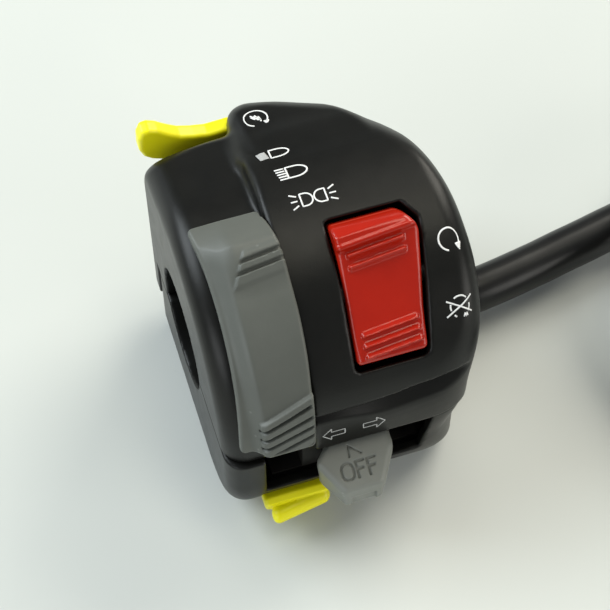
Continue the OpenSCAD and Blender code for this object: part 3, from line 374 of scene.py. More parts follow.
def bar_angle(y, z):
    """Angle round the bar from the front over the top, in degrees."""
    a = np.degrees(np.arctan2(z, -y))
    return np.where(a < -90, a + 360, a)


def local(y, z, angle):
    """Coordinates in the frame that points out of the barrel at an angle: along the arc, outward."""
    c, s = math.cos(math.radians(angle)), math.sin(math.radians(angle))
    return y * s + z * c, z * s - y * c


def net(field, low, high, step):
    """Points and quads of a field's surface, one point in each cell that the surface crosses."""
    axes = [np.arange(low[i], high[i] + step, step) for i in range(3)]
    grid = np.meshgrid(*axes, indexing="ij")
    value = field(*grid)
    cells = tuple(n - 1 for n in value.shape)
    count = np.zeros(cells)
    total = np.zeros(cells + (3,))
    cross_of = []
    for axis in range(3):
        a = np.moveaxis(value, axis, 0)[:-1]
        b = np.moveaxis(value, axis, 0)[1:]
        cross = (a < 0) != (b < 0)
        part = np.where(cross, a / np.where(cross, a - b, 1), 0)
        cross_of.append((cross, a < 0))
        others = [i for i in range(3) if i != axis]
        for du in (0, 1):
            for dv in (0, 1):
                cut = (slice(None), slice(du, du - 1 or None), slice(dv, dv - 1 or None))
                hit = np.moveaxis(cross[cut].astype(float), 0, axis)
                count += hit
                total[..., axis] += np.moveaxis(part[cut], 0, axis)
                total[..., others[0]] += hit * du
                total[..., others[1]] += hit * dv
    active = count > 0
    number = np.full(cells, -1, int)
    number[active] = np.arange(active.sum())
    index = np.argwhere(active)
    points = (index + total[active] / count[active][:, None]) * step + np.array([a[0] for a in axes])
    quads = []
    for axis in range(3):
        cross, start_inside = cross_of[axis]
        ids = np.moveaxis(number, axis, 0)
        hit = np.argwhere(cross[:, 1:-1, 1:-1])
        i, j, k = hit[:, 0], hit[:, 1] + 1, hit[:, 2] + 1
        quad = np.stack([ids[i, j - 1, k - 1], ids[i, j, k - 1], ids[i, j, k], ids[i, j - 1, k]], 1)
        turn = start_inside[i, j, k] ^ (axis == 1)
        quads.append(np.where(turn[:, None], quad, quad[:, ::-1]))
    return points, np.vstack(quads)


# Moving points onto a surface: distance to feel its slope, least slope, and longest move in cells
FEEL, LEAST_SLOPE, LONGEST_MOVE = 0.02, 0.05, 0.5


def settle(field, points, step, rounds=3):
    """Moves points onto the surface along the field's slope."""
    e = FEEL
    p = points.copy()
    for _ in range(rounds):
        x, y, z = p.T
        d = field(x, y, z)
        g = np.stack([field(x + e, y, z) - field(x - e, y, z), field(x, y + e, z) - field(x, y - e, z),
                      field(x, y, z + e) - field(x, y, z - e)], 1) / (2 * e)
        move = d / np.maximum((g * g).sum(1), LEAST_SLOPE)
        longest = LONGEST_MOVE * step
        p -= np.clip(move, -longest, longest)[:, None] * g
    return p


def solid(name, field, low, high, step, body, material, slot, replaces):
    """A piece made from a distance field."""
    points, quads = net(field, low, high, step)
    points = settle(field, points, step)
    return new_mesh(name, points, quads.tolist(), body, material, slot, replaces)


# Upper housing: bulge of its right end and lean of the rocker's window over the angle round the bar,
# front profile over the drop below the lip, then planes as a point, a direction out and a rounding
SHELL_STEP = 0.42
NO_CUT = -9.0
BULGE_ANGLE = np.array([0, 12, 25, 45, 60, 75, 90, 110, 360])
BULGE = np.array([-1.7, -1.6, -0.8, 0.4, 1.0, 0.75, 0.45, 0.2, 0])
ROCKER_LEAN_ANGLE = np.array([25, 45, 60, 75])
ROCKER_LEAN = np.array([-0.45, -0.25, 0.25, 0.55])
LIP_DROP = np.array([-40, -7.2, -4.9, -3.7, -2.9, -1.4, -1.0, -0.6, -0.25, 0.1, 30])
LIP_PROFILE = np.array([-30.1, -30.05, -29.95, -29.7, -29.2, -27.2, -27.0, -27.15, -27.9, -29.3, -60])
LIP_Z, LIP_RISE, LIP_STRETCH, LIP_SHALLOW = 10.6, 1.6, 0.45, 1.1
LIP_RISE_X, LIP_STRETCH_X, LIP_SHALLOW_X, LIP_SHALLOW_DROP = (0, 20), (-6, 6), (-7, 12), (-8, -3)
LIP_LEFT, LIP_SLOPE, LIP_ROUND = -12, 0.85, 0.4
TILT = math.radians(18)
HUMP_LEAN = math.radians(8)
HUMP_BACK, HUMP_FLOOR = 31.5, 1.0
BARREL_TRIM = ((15.2, BACK_Y, 0), (0.9, 0.43, 0), 5.0)
BAND_TRIM = ((-9.6, 23.8, 22.5), (-0.23, 0.9, 0.37), 1.6)
HUMP_BROWS = (
    ((0, 27.35, 24.1), (0, 0.862, 0.507), 1.8),
    ((0.6, 26.5, 24.2), (0.34, 0.82, 0.46), 1.6),
    ((-6.5, 26.3, 24.2), (-0.7, 0.67, 0.25), 2.2),
    ((0, HUMP_BACK, 0), (0, 1, 0), 3.0),
)
HUMP_SIDES = (
    ((STEP_X, 0, 16), (-math.cos(HUMP_LEAN), 0, math.sin(HUMP_LEAN)), 2.5),
    ((7.2, HUMP_BACK, 0), (0.909, 0.416, 0), 1.6),
)
FRONT_BULGE, FRONT_CORNER_R, END_EDGE_R, BAND_EDGE_R, BACK_EDGE_R = 0.4, 10.0, 4.0, 4.2, 2.2
STEP_INSET, STEP_EDGE_R, STEP_EDGE_GROWTH, STEP_EDGE_SPAN = 0.3, 1.0, 0.6, (90, 105)
BAND_END, STEP_FILLET, TOP_FILLET, BACK_FILLET = 5, 0.5, 0.8, 0.9
TOP_FILLET_SPAN, BACK_FILLET_SPAN = (90, 98), (110, 118)
HUMP_FILLET_LEAST, HUMP_FILLET, HUMP_FILLET_GROWTH, HUMP_FLOOR_R = 0.03, 1.1, 1.2, 2.0
HUMP_FILLET_X, HUMP_FILLET_DEPTH = (-7.5, 1), (1.5, 9)


def soft_line(angle, places, values):
    """A smooth curve of values over an angle."""
    shifts = (-5, -2.5, 0, 2.5, 5)
    spread = 0.0
    for shift in shifts:
        spread = spread + np.interp(angle + shift, places, values) / len(shifts)
    return spread


def trim(field, plane, x, y, z):
    """The field's solid cut off by a plane, with a rounded edge."""
    point, out, rounding = plane
    past = out[0] * (x - point[0]) + out[1] * (y - point[1]) + out[2] * (z - point[2])
    return rmax(field, past, rounding)


def upper_outer(x, y, z):
    """Outside of the upper housing as if it went on all round the bar."""
    r = np.hypot(y, z)
    angle = bar_angle(y, z)
    bulge = soft_line(angle, BULGE_ANGLE, BULGE)
    barrel = trim(r - BARREL_R, BARREL_TRIM, x, y, z)
    ends = rmax(-BARREL_R - FRONT_BULGE - y, x - X_RIGHT - bulge, FRONT_CORNER_R)
    step_edge = STEP_EDGE_R + STEP_EDGE_GROWTH * ramp01(angle, *STEP_EDGE_SPAN)
    barrel = rmax(rmax(barrel, ends, END_EDGE_R), STEP_X + STEP_INSET - x, step_edge)
    over = y * math.sin(TILT) + z * math.cos(TILT)
    behind = y * math.cos(TILT) - z * math.sin(TILT)
    band = rmax(np.where(behind > 0, over, r) - BAND_R, X_LEFT - x, BAND_EDGE_R)
    band = np.maximum(trim(band, BAND_TRIM, x, y, z), x - BAND_END)
    fillet = STEP_FILLET + TOP_FILLET * ramp01(angle, *TOP_FILLET_SPAN)
    fillet = fillet + BACK_FILLET * ramp01(angle, *BACK_FILLET_SPAN)
    body = rmax(rmin(barrel, band, fillet), y - BACK_Y, BACK_EDGE_R)
    hump = over - BARREL_R
    for plane in HUMP_BROWS:
        hump = trim(hump, plane, x, y, z)
    hump = rmax(np.maximum(hump, -behind), HUMP_FLOOR - z, HUMP_FLOOR_R)
    for plane in HUMP_SIDES:
        hump = trim(hump, plane, x, y, z)
    fillet = HUMP_FILLET + HUMP_FILLET_GROWTH * ramp01(x, *HUMP_FILLET_X)
    body = rmin(body, hump, HUMP_FILLET_LEAST + fillet * ramp01(behind, *HUMP_FILLET_DEPTH))
    drop = z - LIP_Z - LIP_RISE * ramp01(x, *LIP_RISE_X)
    drop = drop / (1 + LIP_STRETCH * ramp01(x, *LIP_STRETCH_X))
    shallow = LIP_SHALLOW * (1 - ramp01(x, *LIP_SHALLOW_X))
    shallow = shallow * ramp01(drop, *LIP_SHALLOW_DROP)
    profile = np.interp(drop, LIP_DROP, LIP_PROFILE) - shallow
    slot_cut = np.where(x > LIP_LEFT, (profile - y) * LIP_SLOPE, NO_CUT)
    return rmax(body, slot_cut, LIP_ROUND)


# Openings of the upper housing; the window's corner is measured from the rocker's pin
LEDGE_Z, SKIRT_Y, SKIRT_Z, SPLIT_EDGE_R = -6, 18.3, -17, 0.3
FLARE_FROM, FLARE_SPAN = -5, 14
CORNER_SLANT = (0.83, 0.557)
WINDOW_HALF, WINDOW_LOW, WINDOW_R = (6.95, 12.9), 0.5, 1.1
WINDOW_CORNER, WINDOW_FLOOR, WINDOW_EDGE_R = (6.5, 12.3), 18, 0.35
TRACK_X, TRACK_ANGLE, TRACK_HALF, TRACK_R, TRACK_DEPTH = -14.5, 58, (3.3, 7.6), 0.4, (24, 30)
DOOR_AT, DOOR_HALF, DOOR_R, DOOR_X = (25.9, 13.85), (2.5, 6.95), 0.5, (STEP_X - 3, STEP_X + 2.4)


def upper_field(x, y, z):
    """The upper housing: shell, saddle and ledge, with its windows."""
    r = np.hypot(y, z)
    outer = upper_outer(x, y, z)
    shell = np.maximum(outer, -(outer + WALL))
    shell = np.minimum(shell, np.maximum(outer, np.maximum(z, BORE_R - y)))
    saddle = np.maximum(r - SADDLE_R, np.abs(x) - X_RIGHT)
    full = np.maximum(np.minimum(shell, saddle), BORE_R - r)
    ledge = np.maximum(BORE_R - y, LEDGE_Z - z)
    skirt = np.maximum(SKIRT_Y - y, SKIRT_Z - z)
    full = rmax(full, np.minimum(-z, np.minimum(ledge, skirt)), SPLIT_EDGE_R)
    along, out = local(y, z, ROCKER_ANGLE)
    angle = bar_angle(y, z)
    u = x - ROCKER_X - soft_line(angle, ROCKER_LEAN_ANGLE, ROCKER_LEAN)
    spread = 0.5 * ROCKER_FLARE * (along - FLARE_FROM) / FLARE_SPAN
    window = box2(u - spread, along + WINDOW_LOW, WINDOW_HALF[0] + spread, WINDOW_HALF[1], WINDOW_R)
    corner = (u - WINDOW_CORNER[0]) * CORNER_SLANT[0] + (along - WINDOW_CORNER[1]) * CORNER_SLANT[1]
    window = np.maximum(window, corner)
    full = rmax(full, np.where(out > WINDOW_FLOOR, -window, NO_CUT), WINDOW_EDGE_R)
    track = box2(x - TRACK_X, np.radians(angle - TRACK_ANGLE) * BAND_R, *TRACK_HALF, TRACK_R)
    in_track = (r > TRACK_DEPTH[0]) & (r < TRACK_DEPTH[1])
    full = np.maximum(full, np.where(in_track, -track, NO_CUT))
    door = box2(y - DOOR_AT[0], z - DOOR_AT[1], *DOOR_HALF, DOOR_R)
    in_door = (x > DOOR_X[0]) & (x < DOOR_X[1])
    return np.maximum(full, np.where(in_door, -door, NO_CUT))


solid("upper_shell", upper_field, (-24.2, -32, -18), (25.6, 32.4, 32.2), SHELL_STEP, "housing", BLACK,
      "housing_black", ("upper_housing",))


# Lower housing
BASE_ROLL_R, LOWER_LEFT_R, LOWER_BACK, LOWER_BACK_R, LOWER_EDGE_R = 16.0, 4.0, 18.1, 2.5, 1.5
CORNER_FRONT, CORNER_R, CORNER_GROWTH, CORNER_DROP = 0.5, 10.5, 2.5, (0, 9)
RIGHT_DRAFT, RIGHT_DRAFT_DROP = 1.1, (0, 12)
WELLS = ((-19.3, -20.0), (17.5, -20.0), (0.0, 14.6))
WELL_R, WELL_TOP, WELL_SKIN, WELL_EDGE_R, BOSS_R = 3.0, -12, 0.7, 0.25, 3.9
SPLIT_GAP, LOWER_STEP_Y, LOWER_STEP_Z = 0.2, 7.15, -6.2
SLOT_AT, SLOT_HALF, SLOT_DEPTH, SLOT_R = (-1.6, 0.9), (15.2, 12.6), -26.6, 0.6
SLOT_END, SLOT_SLANT, SLOT_END_SCALE = 13.6, 0.18, 0.98
HORN_GAP_AT, HORN_GAP_HALF, HORN_GAP_DEPTH, HORN_GAP_R = (-11.25, -16.9), (6.25, 3.7), -22, 0.6
CUT_EDGE_R = 0.3
SHELF_X, SHELF_Z, SHELF_HALF, SHELF_BACK = -1.9, -12.8, (15.5, 0.7), -22.5
CABLE_HOLE_R, CABLE_HOLE_X = 5.3, 18


def lower_field(x, y, z):
    """The lower housing: tray with its saddle, turn slot, horn gap, screw wells and cable hole."""
    r = np.hypot(y, z)
    outer = rmax(-FRONT_Y - y, BASE_Z - z, BASE_ROLL_R)
    outer = rmax(outer, X_LEFT - x, LOWER_LEFT_R)
    right = x - LOWER_RIGHT + RIGHT_DRAFT * ramp01(-z, *RIGHT_DRAFT_DROP)
    corner_r = CORNER_R + CORNER_GROWTH * ramp01(-z, *CORNER_DROP)
    corner = rmax(-FRONT_Y - CORNER_FRONT - y, right, corner_r)
    outer = rmax(outer, corner, LOWER_EDGE_R)
    outer = rmax(outer, y - LOWER_BACK, LOWER_BACK_R)
    shell = np.maximum(outer, -(outer + WALL))
    full = np.minimum(shell, np.maximum(r - SADDLE_R, outer))
    for px, py in WELLS:
        full = np.minimum(full, np.maximum(np.hypot(x - px, y - py) - BOSS_R, outer))
    full = np.maximum(full, BORE_R - r)
    split = np.maximum(z + SPLIT_GAP, np.minimum(y - LOWER_STEP_Y, z - LOWER_STEP_Z))
    full = rmax(full, split, SPLIT_EDGE_R)
    for px, py in WELLS:
        well = np.maximum(np.hypot(x - px, y - py) - WELL_R, z - WELL_TOP)
        full = rmax(full, -np.maximum(well, corner + WELL_SKIN), WELL_EDGE_R)
    slot_cut = box2(x - SLOT_AT[0], z - SLOT_AT[1], *SLOT_HALF, SLOT_R)
    slot_cut = np.maximum(slot_cut, y - SLOT_DEPTH)
    slot_cut = np.maximum(slot_cut, (x - SLOT_END - SLOT_SLANT * z) * SLOT_END_SCALE)
    full = rmax(full, -slot_cut, CUT_EDGE_R)
    horn_cut = box2(x - HORN_GAP_AT[0], z - HORN_GAP_AT[1], *HORN_GAP_HALF, HORN_GAP_R)
    full = rmax(full, -np.maximum(horn_cut, y - HORN_GAP_DEPTH), CUT_EDGE_R)
    shelf = np.maximum(np.abs(x - SHELF_X) - SHELF_HALF[0], np.abs(z - SHELF_Z) - SHELF_HALF[1])
    shelf = np.maximum(shelf, y - SHELF_BACK)
    full = np.minimum(full, np.maximum(shelf, outer))
    hole = np.maximum(np.hypot(y - CABLE_Y, z - CABLE_Z) - CABLE_HOLE_R, CABLE_HOLE_X - x)
    return np.maximum(full, -hole)


solid("lower_shell", lower_field, (-24.2, -30.6, -25.7), (23.2, 18.9, 0.6), SHELL_STEP, "housing", BLACK,
      "housing_black", ("lower_housing",))


# Light slider, as a height over the band: right and left edges over the angle round the bar
SLIDER_RIGHT_ANGLE = np.array([0, 14, 28, 42, 56, 72, 80, 87, 93, 360])
SLIDER_RIGHT = np.array([-8.6, -8.5, -8.1, -7.4, -7.05, -7.05, -7.4, -8.1, -8.6, -8.6])
SLIDER_LEFT_ANGLE = np.array([0, 13, 35, 50, 64, 77, 85, 93, 360])
SLIDER_LEFT = np.array([-21.1, -21.1, -20.2, -19.85, -19.8, -20.0, -20.5, -20.9, -20.9])
SLIDER_STEP, SLIDER_CLEAR, SLIDER_R = 0.23, 0.3, 30.0
SLIDER_MIDDLE, SLIDER_HALF, SLIDER_TOP = 51.5, 40.5, 93.0
SLIDER_CORNER_R, SLIDER_EDGE_R, SLIDER_FOOT_R, SLIDER_SLOPE = 1.0, 0.55, 0.15, 0.9
OVERHANG_X = -8.65
# Heights of its face, its dish, its crest with the ridge on it, and its back
FACE_LOW, FACE_RISE, FACE_RISE_X = 1.4, 1.7, (-19.4, -16.4)
FACE_DISH, DISH_ANGLE, DISH_SPAN = 0.35, 52, (14, 26)
CREST_ANGLE, CREST_TURN, CREST_TURN_X, CREST_RUN = 79.6, 4.5, (-16.5, -21.0), 16
RIDGE_LOW, RIDGE_RISE, RIDGE_RISE_X, BACK_LOW = 2.2, 2.6, (-21.0, -14.5), 1.3
# Upper grip: a leaning block with two grooves
GRIP_LEAN, GRIP_LEAN_X = 0.2, -8.0
GRIP_TOP, GRIP_LEFT, GRIP_SLANT, GRIP_EDGE = 79, -13.3, 0.32, 0.3
GRIP_FOOT, GRIP_RISE_FROM = (68.6, 70.2), 66.5
GRIP_LIFT, GRIP_CREST, GRIP_CREST_RUN = 0.2, 0.35, 2
GRIP_GROOVES, GRIP_GROOVE_EDGE, GRIP_GROOVE_DEPTH = (75.8, 72.9), (0.7, 0.4), 0.75
# Lower pad: slanted grooves at an even pitch
PAD_SLANT, PAD_SLANT_X, PAD_LIFT, PAD_RISE = 0.64, -8.7, 0.3, 0.65
PAD_X, PAD_TOP, PAD_RISE_SPAN = (-17.7, -17.4), (31.4, 30.6), (14, 27)
PAD_FROM, PAD_PITCH, PAD_GROOVE_DEPTH, PAD_GROOVE_EDGE = 14.4, 3.9, 1.5, (0.8, 0.5)
PAD_GROOVE_FOOT, PAD_GROOVE_TOP, PAD_GROOVE_X = (12.2, 12.8), (30.2, 29.6), (-8.4, -9.2)
# Leg through the band
LEG_ANGLE, LEG_R, LEG_HALF, LEG_HALF_ANGLE, LEG_CORNER_R = 50, 27.0, 3.0, 4.5, 0.2
LEG_BOTTOM, LEG_LAP = 24.2, 0.8


def slider_height(angle, x):
    """Height of the slider's face over its foot."""
    left = ramp01(x, *FACE_RISE_X)
    dish = FACE_DISH * left * ramp01(np.abs(angle - DISH_ANGLE), *DISH_SPAN)
    face = FACE_LOW + FACE_RISE * left + dish
    crest = CREST_ANGLE + CREST_TURN * ramp01(x, *CREST_TURN_X)
    ridge = RIDGE_LOW + RIDGE_RISE * ramp01(x, *RIDGE_RISE_X)
    back = BACK_LOW + (ridge - BACK_LOW) * np.clip((SLIDER_TOP - angle) / (SLIDER_TOP - crest), 0, 1)
    front = face + (ridge - face) * ramp01(angle, crest - CREST_RUN, crest)
    lean = angle - (x - GRIP_LEAN_X) * GRIP_LEAN
    grip_left = GRIP_LEFT - (GRIP_TOP - lean) * GRIP_SLANT
    grip = ramp01(x, grip_left - GRIP_EDGE, grip_left + GRIP_EDGE) * ramp01(lean, *GRIP_FOOT)
    block = face + GRIP_LIFT + (ridge - face - GRIP_LIFT) * ramp01(lean, GRIP_RISE_FROM, GRIP_TOP)
    block = block + GRIP_CREST * ramp01(lean, GRIP_TOP, GRIP_TOP - GRIP_CREST_RUN)
    grooves = 0.0
    for place in GRIP_GROOVES:
        grooves = np.maximum(grooves, ramp01(np.abs(lean - place), *GRIP_GROOVE_EDGE))
    block = np.maximum(block - GRIP_GROOVE_DEPTH * grooves, face)
    front = front * (1 - grip) + block * grip
    height = np.where(angle > crest, back, front)
    slant = (x - PAD_SLANT_X) * PAD_SLANT
    pad = ramp01(x, *PAD_X) * ramp01(angle - slant, *PAD_TOP)
    step = np.mod(angle - PAD_FROM - slant, PAD_PITCH)
    groove = ramp01(np.abs(step - PAD_PITCH / 2), *PAD_GROOVE_EDGE) * ramp01(angle, *PAD_GROOVE_FOOT)
    groove = groove * ramp01(angle - slant, *PAD_GROOVE_TOP) * ramp01(x, *PAD_GROOVE_X)
    lift = PAD_LIFT + PAD_RISE * ramp01(angle, *PAD_RISE_SPAN)
    return height + pad * (lift - PAD_GROOVE_DEPTH * groove)


def slider_field(x, y, z):
    """The grey slider, whose face overhangs the barrel's edge, with its leg through the band."""
    r = np.hypot(y, z)
    angle = bar_angle(y, z)
    foot = BAND_R + SLIDER_CLEAR
    right = soft_line(angle, SLIDER_RIGHT_ANGLE, SLIDER_RIGHT)
    left = soft_line(angle, SLIDER_LEFT_ANGLE, SLIDER_LEFT)
    middle = (right + left) / 2
    outline = box2(x - middle, np.radians(angle - SLIDER_MIDDLE) * SLIDER_R, right - middle,
                   np.radians(SLIDER_HALF) * SLIDER_R, SLIDER_CORNER_R)
    body = (r - foot - slider_height(angle, x)) * SLIDER_SLOPE
    body = rmax(rmax(body, outline, SLIDER_EDGE_R), foot - r, SLIDER_FOOT_R)
    body = np.maximum(body, np.minimum(x - OVERHANG_X, BARREL_R + SLIDER_CLEAR - r))
    leg = box2(x - TRACK_X, np.radians(angle - LEG_ANGLE) * LEG_R, LEG_HALF,
               np.radians(LEG_HALF_ANGLE) * LEG_R, LEG_CORNER_R)
    leg = np.maximum(leg, np.maximum(LEG_BOTTOM - r, r - foot - LEG_LAP))
    return np.minimum(body, leg)


solid("slider_grip", slider_field, (-21.9, -34.4, 4.5), (-6, 2.2, 34.4), SLIDER_STEP, "light_slider", GREY,
      "grey_plastic", ("light_slider",))


# Kill rocker, in its own tilted frame: along its length from the pin, and out of its face
ROCKER_STEP, ROCKER_SKEW = 0.24, 0.09
ROCKER_FACE, ROCKER_DISH, ROCKER_DISH_SPAN = 5.5, 0.5, (4, 12)
HEAD_LOW, HEAD_RISE, HEAD_END, HEAD_RUN, HEAD_TOP = 3.6, 3.2, 12.9, 2.4, 6.4
HEAD_STEP, HEAD_STEPS = 0.3, ((10.9, 10.4), (9.6, 9.1))
HEAD_CUT, HEAD_CUT_SPAN, HEAD_BLEND = 0.35, (12.0, 10.9), (7.9, 8.8)
# Ribs of the top and of the bottom: places, then foot, crest and end of one, then its height
TOP_RIBS = ((7.0, 5.0), (-0.9, 0.35, 0.65), 0.85)
BOTTOM_RIBS = ((-6.5, -8.3, -10.1), (-0.35, -0.1, 0.9), 0.75)
RIB_INSET = (5.2, 4.7)
ROCKER_RIGHT, ROCKER_LEFT, ROCKER_CORNER = 6.35, -6.5, (5.5, 12.1)
ROCKER_CORNER_R, ROCKER_EDGE_R, ROCKER_SWEEP_R = 0.6, 0.8, 0.7
ROCKER_SWEEP, ROCKER_SWEEP_AT = 12.75, -0.4
ROCKER_HALF, ROCKER_MIDDLE, ROCKER_END_R = 12.05, 0.15, 1.2
ROCKER_UNDER, ROCKER_BELLY, ROCKER_BELLY_SPAN = 0.5, 2.0, (12, 3)
ROCKER_STEM_R, ROCKER_STEM_TOP, ROCKER_STEM_END = 2.7, -1, -5.6


def rocker_height(v, x):
    """Height of the rocker's face over its pin, along its length."""
    s = v - x * ROCKER_SKEW
    face = ROCKER_FACE + ROCKER_DISH * ramp01(np.abs(v), *ROCKER_DISH_SPAN)
    crown = HEAD_LOW + HEAD_RISE * np.clip((HEAD_END - s) / HEAD_RUN, 0, 1)
    steps = HEAD_STEP * sum(ramp01(s, *edge) for edge in HEAD_STEPS)
    head = np.minimum(crown, HEAD_TOP) + steps - HEAD_CUT * ramp01(s, *HEAD_CUT_SPAN)
    ribs = 0.0
    for places, (foot, crest, end), high in (TOP_RIBS, BOTTOM_RIBS):
        for place in places:
            rib = ramp01(s, place + foot, place + crest) * ramp01(s, place + end, place + crest)
            ribs = np.maximum(ribs, high * rib)
    inset = ramp01(np.abs(x), *RIB_INSET)
    blend = ramp01(s, *HEAD_BLEND)
    return face * (1 - blend) + head * blend + ribs * inset


def rocker_field(x, y, z):
    """The red rocker with its stem."""
    along, out = local(y, z, ROCKER_ANGLE)
    u = x - ROCKER_X - soft_line(bar_angle(y, z), ROCKER_LEAN_ANGLE, ROCKER_LEAN)
    c, s = math.cos(math.radians(ROCKER_TILT)), math.sin(math.radians(ROCKER_TILT))
    out = out - ROCKER_PIN
    v = along * c + out * s
    w = out * c - along * s
    flank = np.maximum(u - ROCKER_RIGHT - ROCKER_FLARE * (v - FLARE_FROM) / FLARE_SPAN, ROCKER_LEFT - u)
    corner = (u - ROCKER_CORNER[0]) * CORNER_SLANT[0] + (v - ROCKER_CORNER[1]) * CORNER_SLANT[1]
    flank = rmax(flank, corner, ROCKER_CORNER_R)
    body = rmax(w - rocker_height(v, u), flank, ROCKER_EDGE_R)
    body = rmax(body, np.hypot(v - ROCKER_SWEEP_AT, w) - ROCKER_SWEEP, ROCKER_SWEEP_R)
    body = rmax(body, np.abs(v - ROCKER_MIDDLE) - ROCKER_HALF, ROCKER_END_R)
    body = np.maximum(body, -(w + ROCKER_UNDER + ROCKER_BELLY * ramp01(np.abs(v), *ROCKER_BELLY_SPAN)))
    stem = np.maximum(w - ROCKER_STEM_TOP, ROCKER_STEM_END - w)
    stem = np.maximum(np.hypot(x - ROCKER_X, v) - ROCKER_STEM_R, stem)
    return np.maximum(np.minimum(body, stem), PIN_HOLE_R - np.hypot(v, w))


solid("rocker_cap", rocker_field, (0.3, -29.5, 6.5), (16.6, 0.5, 33.8), ROCKER_STEP, "kill_rocker", RED,
      "red_plastic", ("kill_rocker",))


# Turn knob with its engraved word and pointer
KNOB_STEP = 0.2
LETTER_W, POINTER_W, LETTER_H = 0.22, 0.12, 1.45
LETTER_DEPTH, LETTERS_X, LETTERS_Y = 0.35, 0.1, -34.2
RING_X, RING_HALF, RING_R = -2.25, (1.05, LETTER_H), 1.0
STEMS_X, ARM_LONG, ARM_SHORT, ARM_Z = (-0.55, 1.5), 1.45, 1.1, 0.15
POINTER = ((-1.3, 2.3), (-1.0, 4.6), (0.9, 2.6))
KNOB_HALF, KNOB_NOSE_HALF, KNOB_TAPER_RUN, KNOB_TAPER_Y = 7.0, 3.9, 5.6, -31.8
KNOB_DRAFT, KNOB_DRAFT_DROP = 0.7, (1.5, 9.5)
KNOB_TAPER = math.atan2(KNOB_HALF - KNOB_NOSE_HALF, KNOB_TAPER_RUN)
KNOB_FLANK_R, KNOB_CHAMFER_R, KNOB_TOP_R, KNOB_NOSE_R = 0.5, 0.8, 0.6, 1.2
CHAMFER_AT, CHAMFER_OUT = (-7.1, -31.3), (-0.74, 0.67)
KNOB_SLOPE, KNOB_SLOPE_AT, KNOB_TOP = math.radians(21), (-31.2, -1.4), -1.3
KNOB_FRONT, KNOB_FRONT_R, KNOB_BASE, KNOB_BASE_R = -37.3, 0.6, -10.0, 0.8
KNOB_ROOT, KNOB_ROOT_R = -29.05, 0.2
FACET_Z, FACET_HALF, FACET_R, FACET_Y = -8.8, (2.2, 2.1), 0.3, -36.8
STEM_HALF, STEM_Z, STEM_FROM = (4.2, 3.25), -5.75, -30.5


def knob_letters(u, v):
    """Distance to the strokes of OFF and the pointer over it, on the knob's top."""
    best = np.abs(box2(u - RING_X, v, *RING_HALF, RING_R)) - LETTER_W
    for left in STEMS_X:
        for a, b in (((left, -LETTER_H), (left, LETTER_H)),
                     ((left, LETTER_H), (left + ARM_LONG, LETTER_H)),
                     ((left, ARM_Z), (left + ARM_SHORT, ARM_Z))):
            best = np.minimum(best, stroke2(u, v, a, b, LETTER_W))
    for end in (POINTER[0], POINTER[2]):
        best = np.minimum(best, stroke2(u, v, POINTER[1], end, POINTER_W))
    return best


def knob_field(x, y, z):
    """The grey turn knob: a tapered nose on a stem."""
    u = x - TURN_X
    side = np.abs(u) - KNOB_HALF + ramp01(-z, *KNOB_DRAFT_DROP) * KNOB_DRAFT
    flank = side * math.cos(KNOB_TAPER) - (y - KNOB_TAPER_Y) * math.sin(KNOB_TAPER)
    flank = rmax(flank, side, KNOB_FLANK_R)
    chamfer = (u - CHAMFER_AT[0]) * CHAMFER_OUT[0] + (y - CHAMFER_AT[1]) * CHAMFER_OUT[1]
    flank = rmax(flank, chamfer, KNOB_CHAMFER_R)
    top = (z - KNOB_SLOPE_AT[1]) * math.cos(KNOB_SLOPE) - (y - KNOB_SLOPE_AT[0]) * math.sin(KNOB_SLOPE)
    top = rmax(top, z - KNOB_TOP, KNOB_TOP_R)
    nose = rmax(flank, top, KNOB_NOSE_R)
    nose = rmax(nose, KNOB_FRONT - y, KNOB_FRONT_R)
    nose = rmax(nose, KNOB_BASE - z, KNOB_BASE_R)
    nose = rmax(nose, y - KNOB_ROOT, KNOB_ROOT_R)
    facet = np.maximum(box2(u, z - FACET_Z, *FACET_HALF, FACET_R), y - FACET_Y)
    nose = np.maximum(nose, -facet)
    letters = knob_letters(u - LETTERS_X, (y - LETTERS_Y) / math.cos(KNOB_SLOPE))
    nose = np.maximum(nose, -np.maximum(letters, -top - LETTER_DEPTH))
    stem = np.maximum(np.abs(u) - STEM_HALF[0], np.abs(z - STEM_Z) - STEM_HALF[1])
    stem = np.maximum(stem, np.maximum(y - STEM_END, STEM_FROM - y))
    return np.minimum(nose, stem)


solid("knob_cap", knob_field, (-10.2, -38, -10.8), (7.2, -22.6, -0.6), KNOB_STEP, "turn_knob", LIT_KNOB_GREY,
      "grey_plastic", ("turn_knob",))


# Starter lever
LEVER_STEP = 0.28
STARTER_OUTLINE = [
    (-21.0, 16.9), (-22.3, 18.2), (-23.0, 20.2), (-22.9, 23.4), (-22.2, 25.1), (-20.8, 25.4),
    (-19.3, 24.6), (-17.4, 22.9), (-15.4, 21.4), (-13.0, 20.5), (-10.5, 19.9), (-5.9, 20.2),
    (-5.9, 13.8), (4.0, 13.8), (4.0, 7.5), (-9.3, 7.5), (-12.5, 10.0), (-16.0, 13.4), (-19.0, 15.9),
]
STARTER_HALF, STARTER_EDGE_R = 1.5, 0.7
STARTER_HUB_R, STARTER_HUB_Z, STARTER_HUB_HALF = 2.4, 10.65, 3.15


def starter_field(x, y, z):
    """The yellow starter lever with its hub."""
    plate = np.abs(y - STARTER_PIVOT[1]) - STARTER_HALF
    plate = rmax(polygon2(x, z, STARTER_OUTLINE), plate, STARTER_EDGE_R)
    from_pin = np.hypot(x - STARTER_PIVOT[0], y - STARTER_PIVOT[1])
    hub = np.maximum(from_pin - STARTER_HUB_R, np.abs(z - STARTER_HUB_Z) - STARTER_HUB_HALF)
    return np.maximum(np.minimum(plate, hub), PIN_HOLE_R - from_pin)


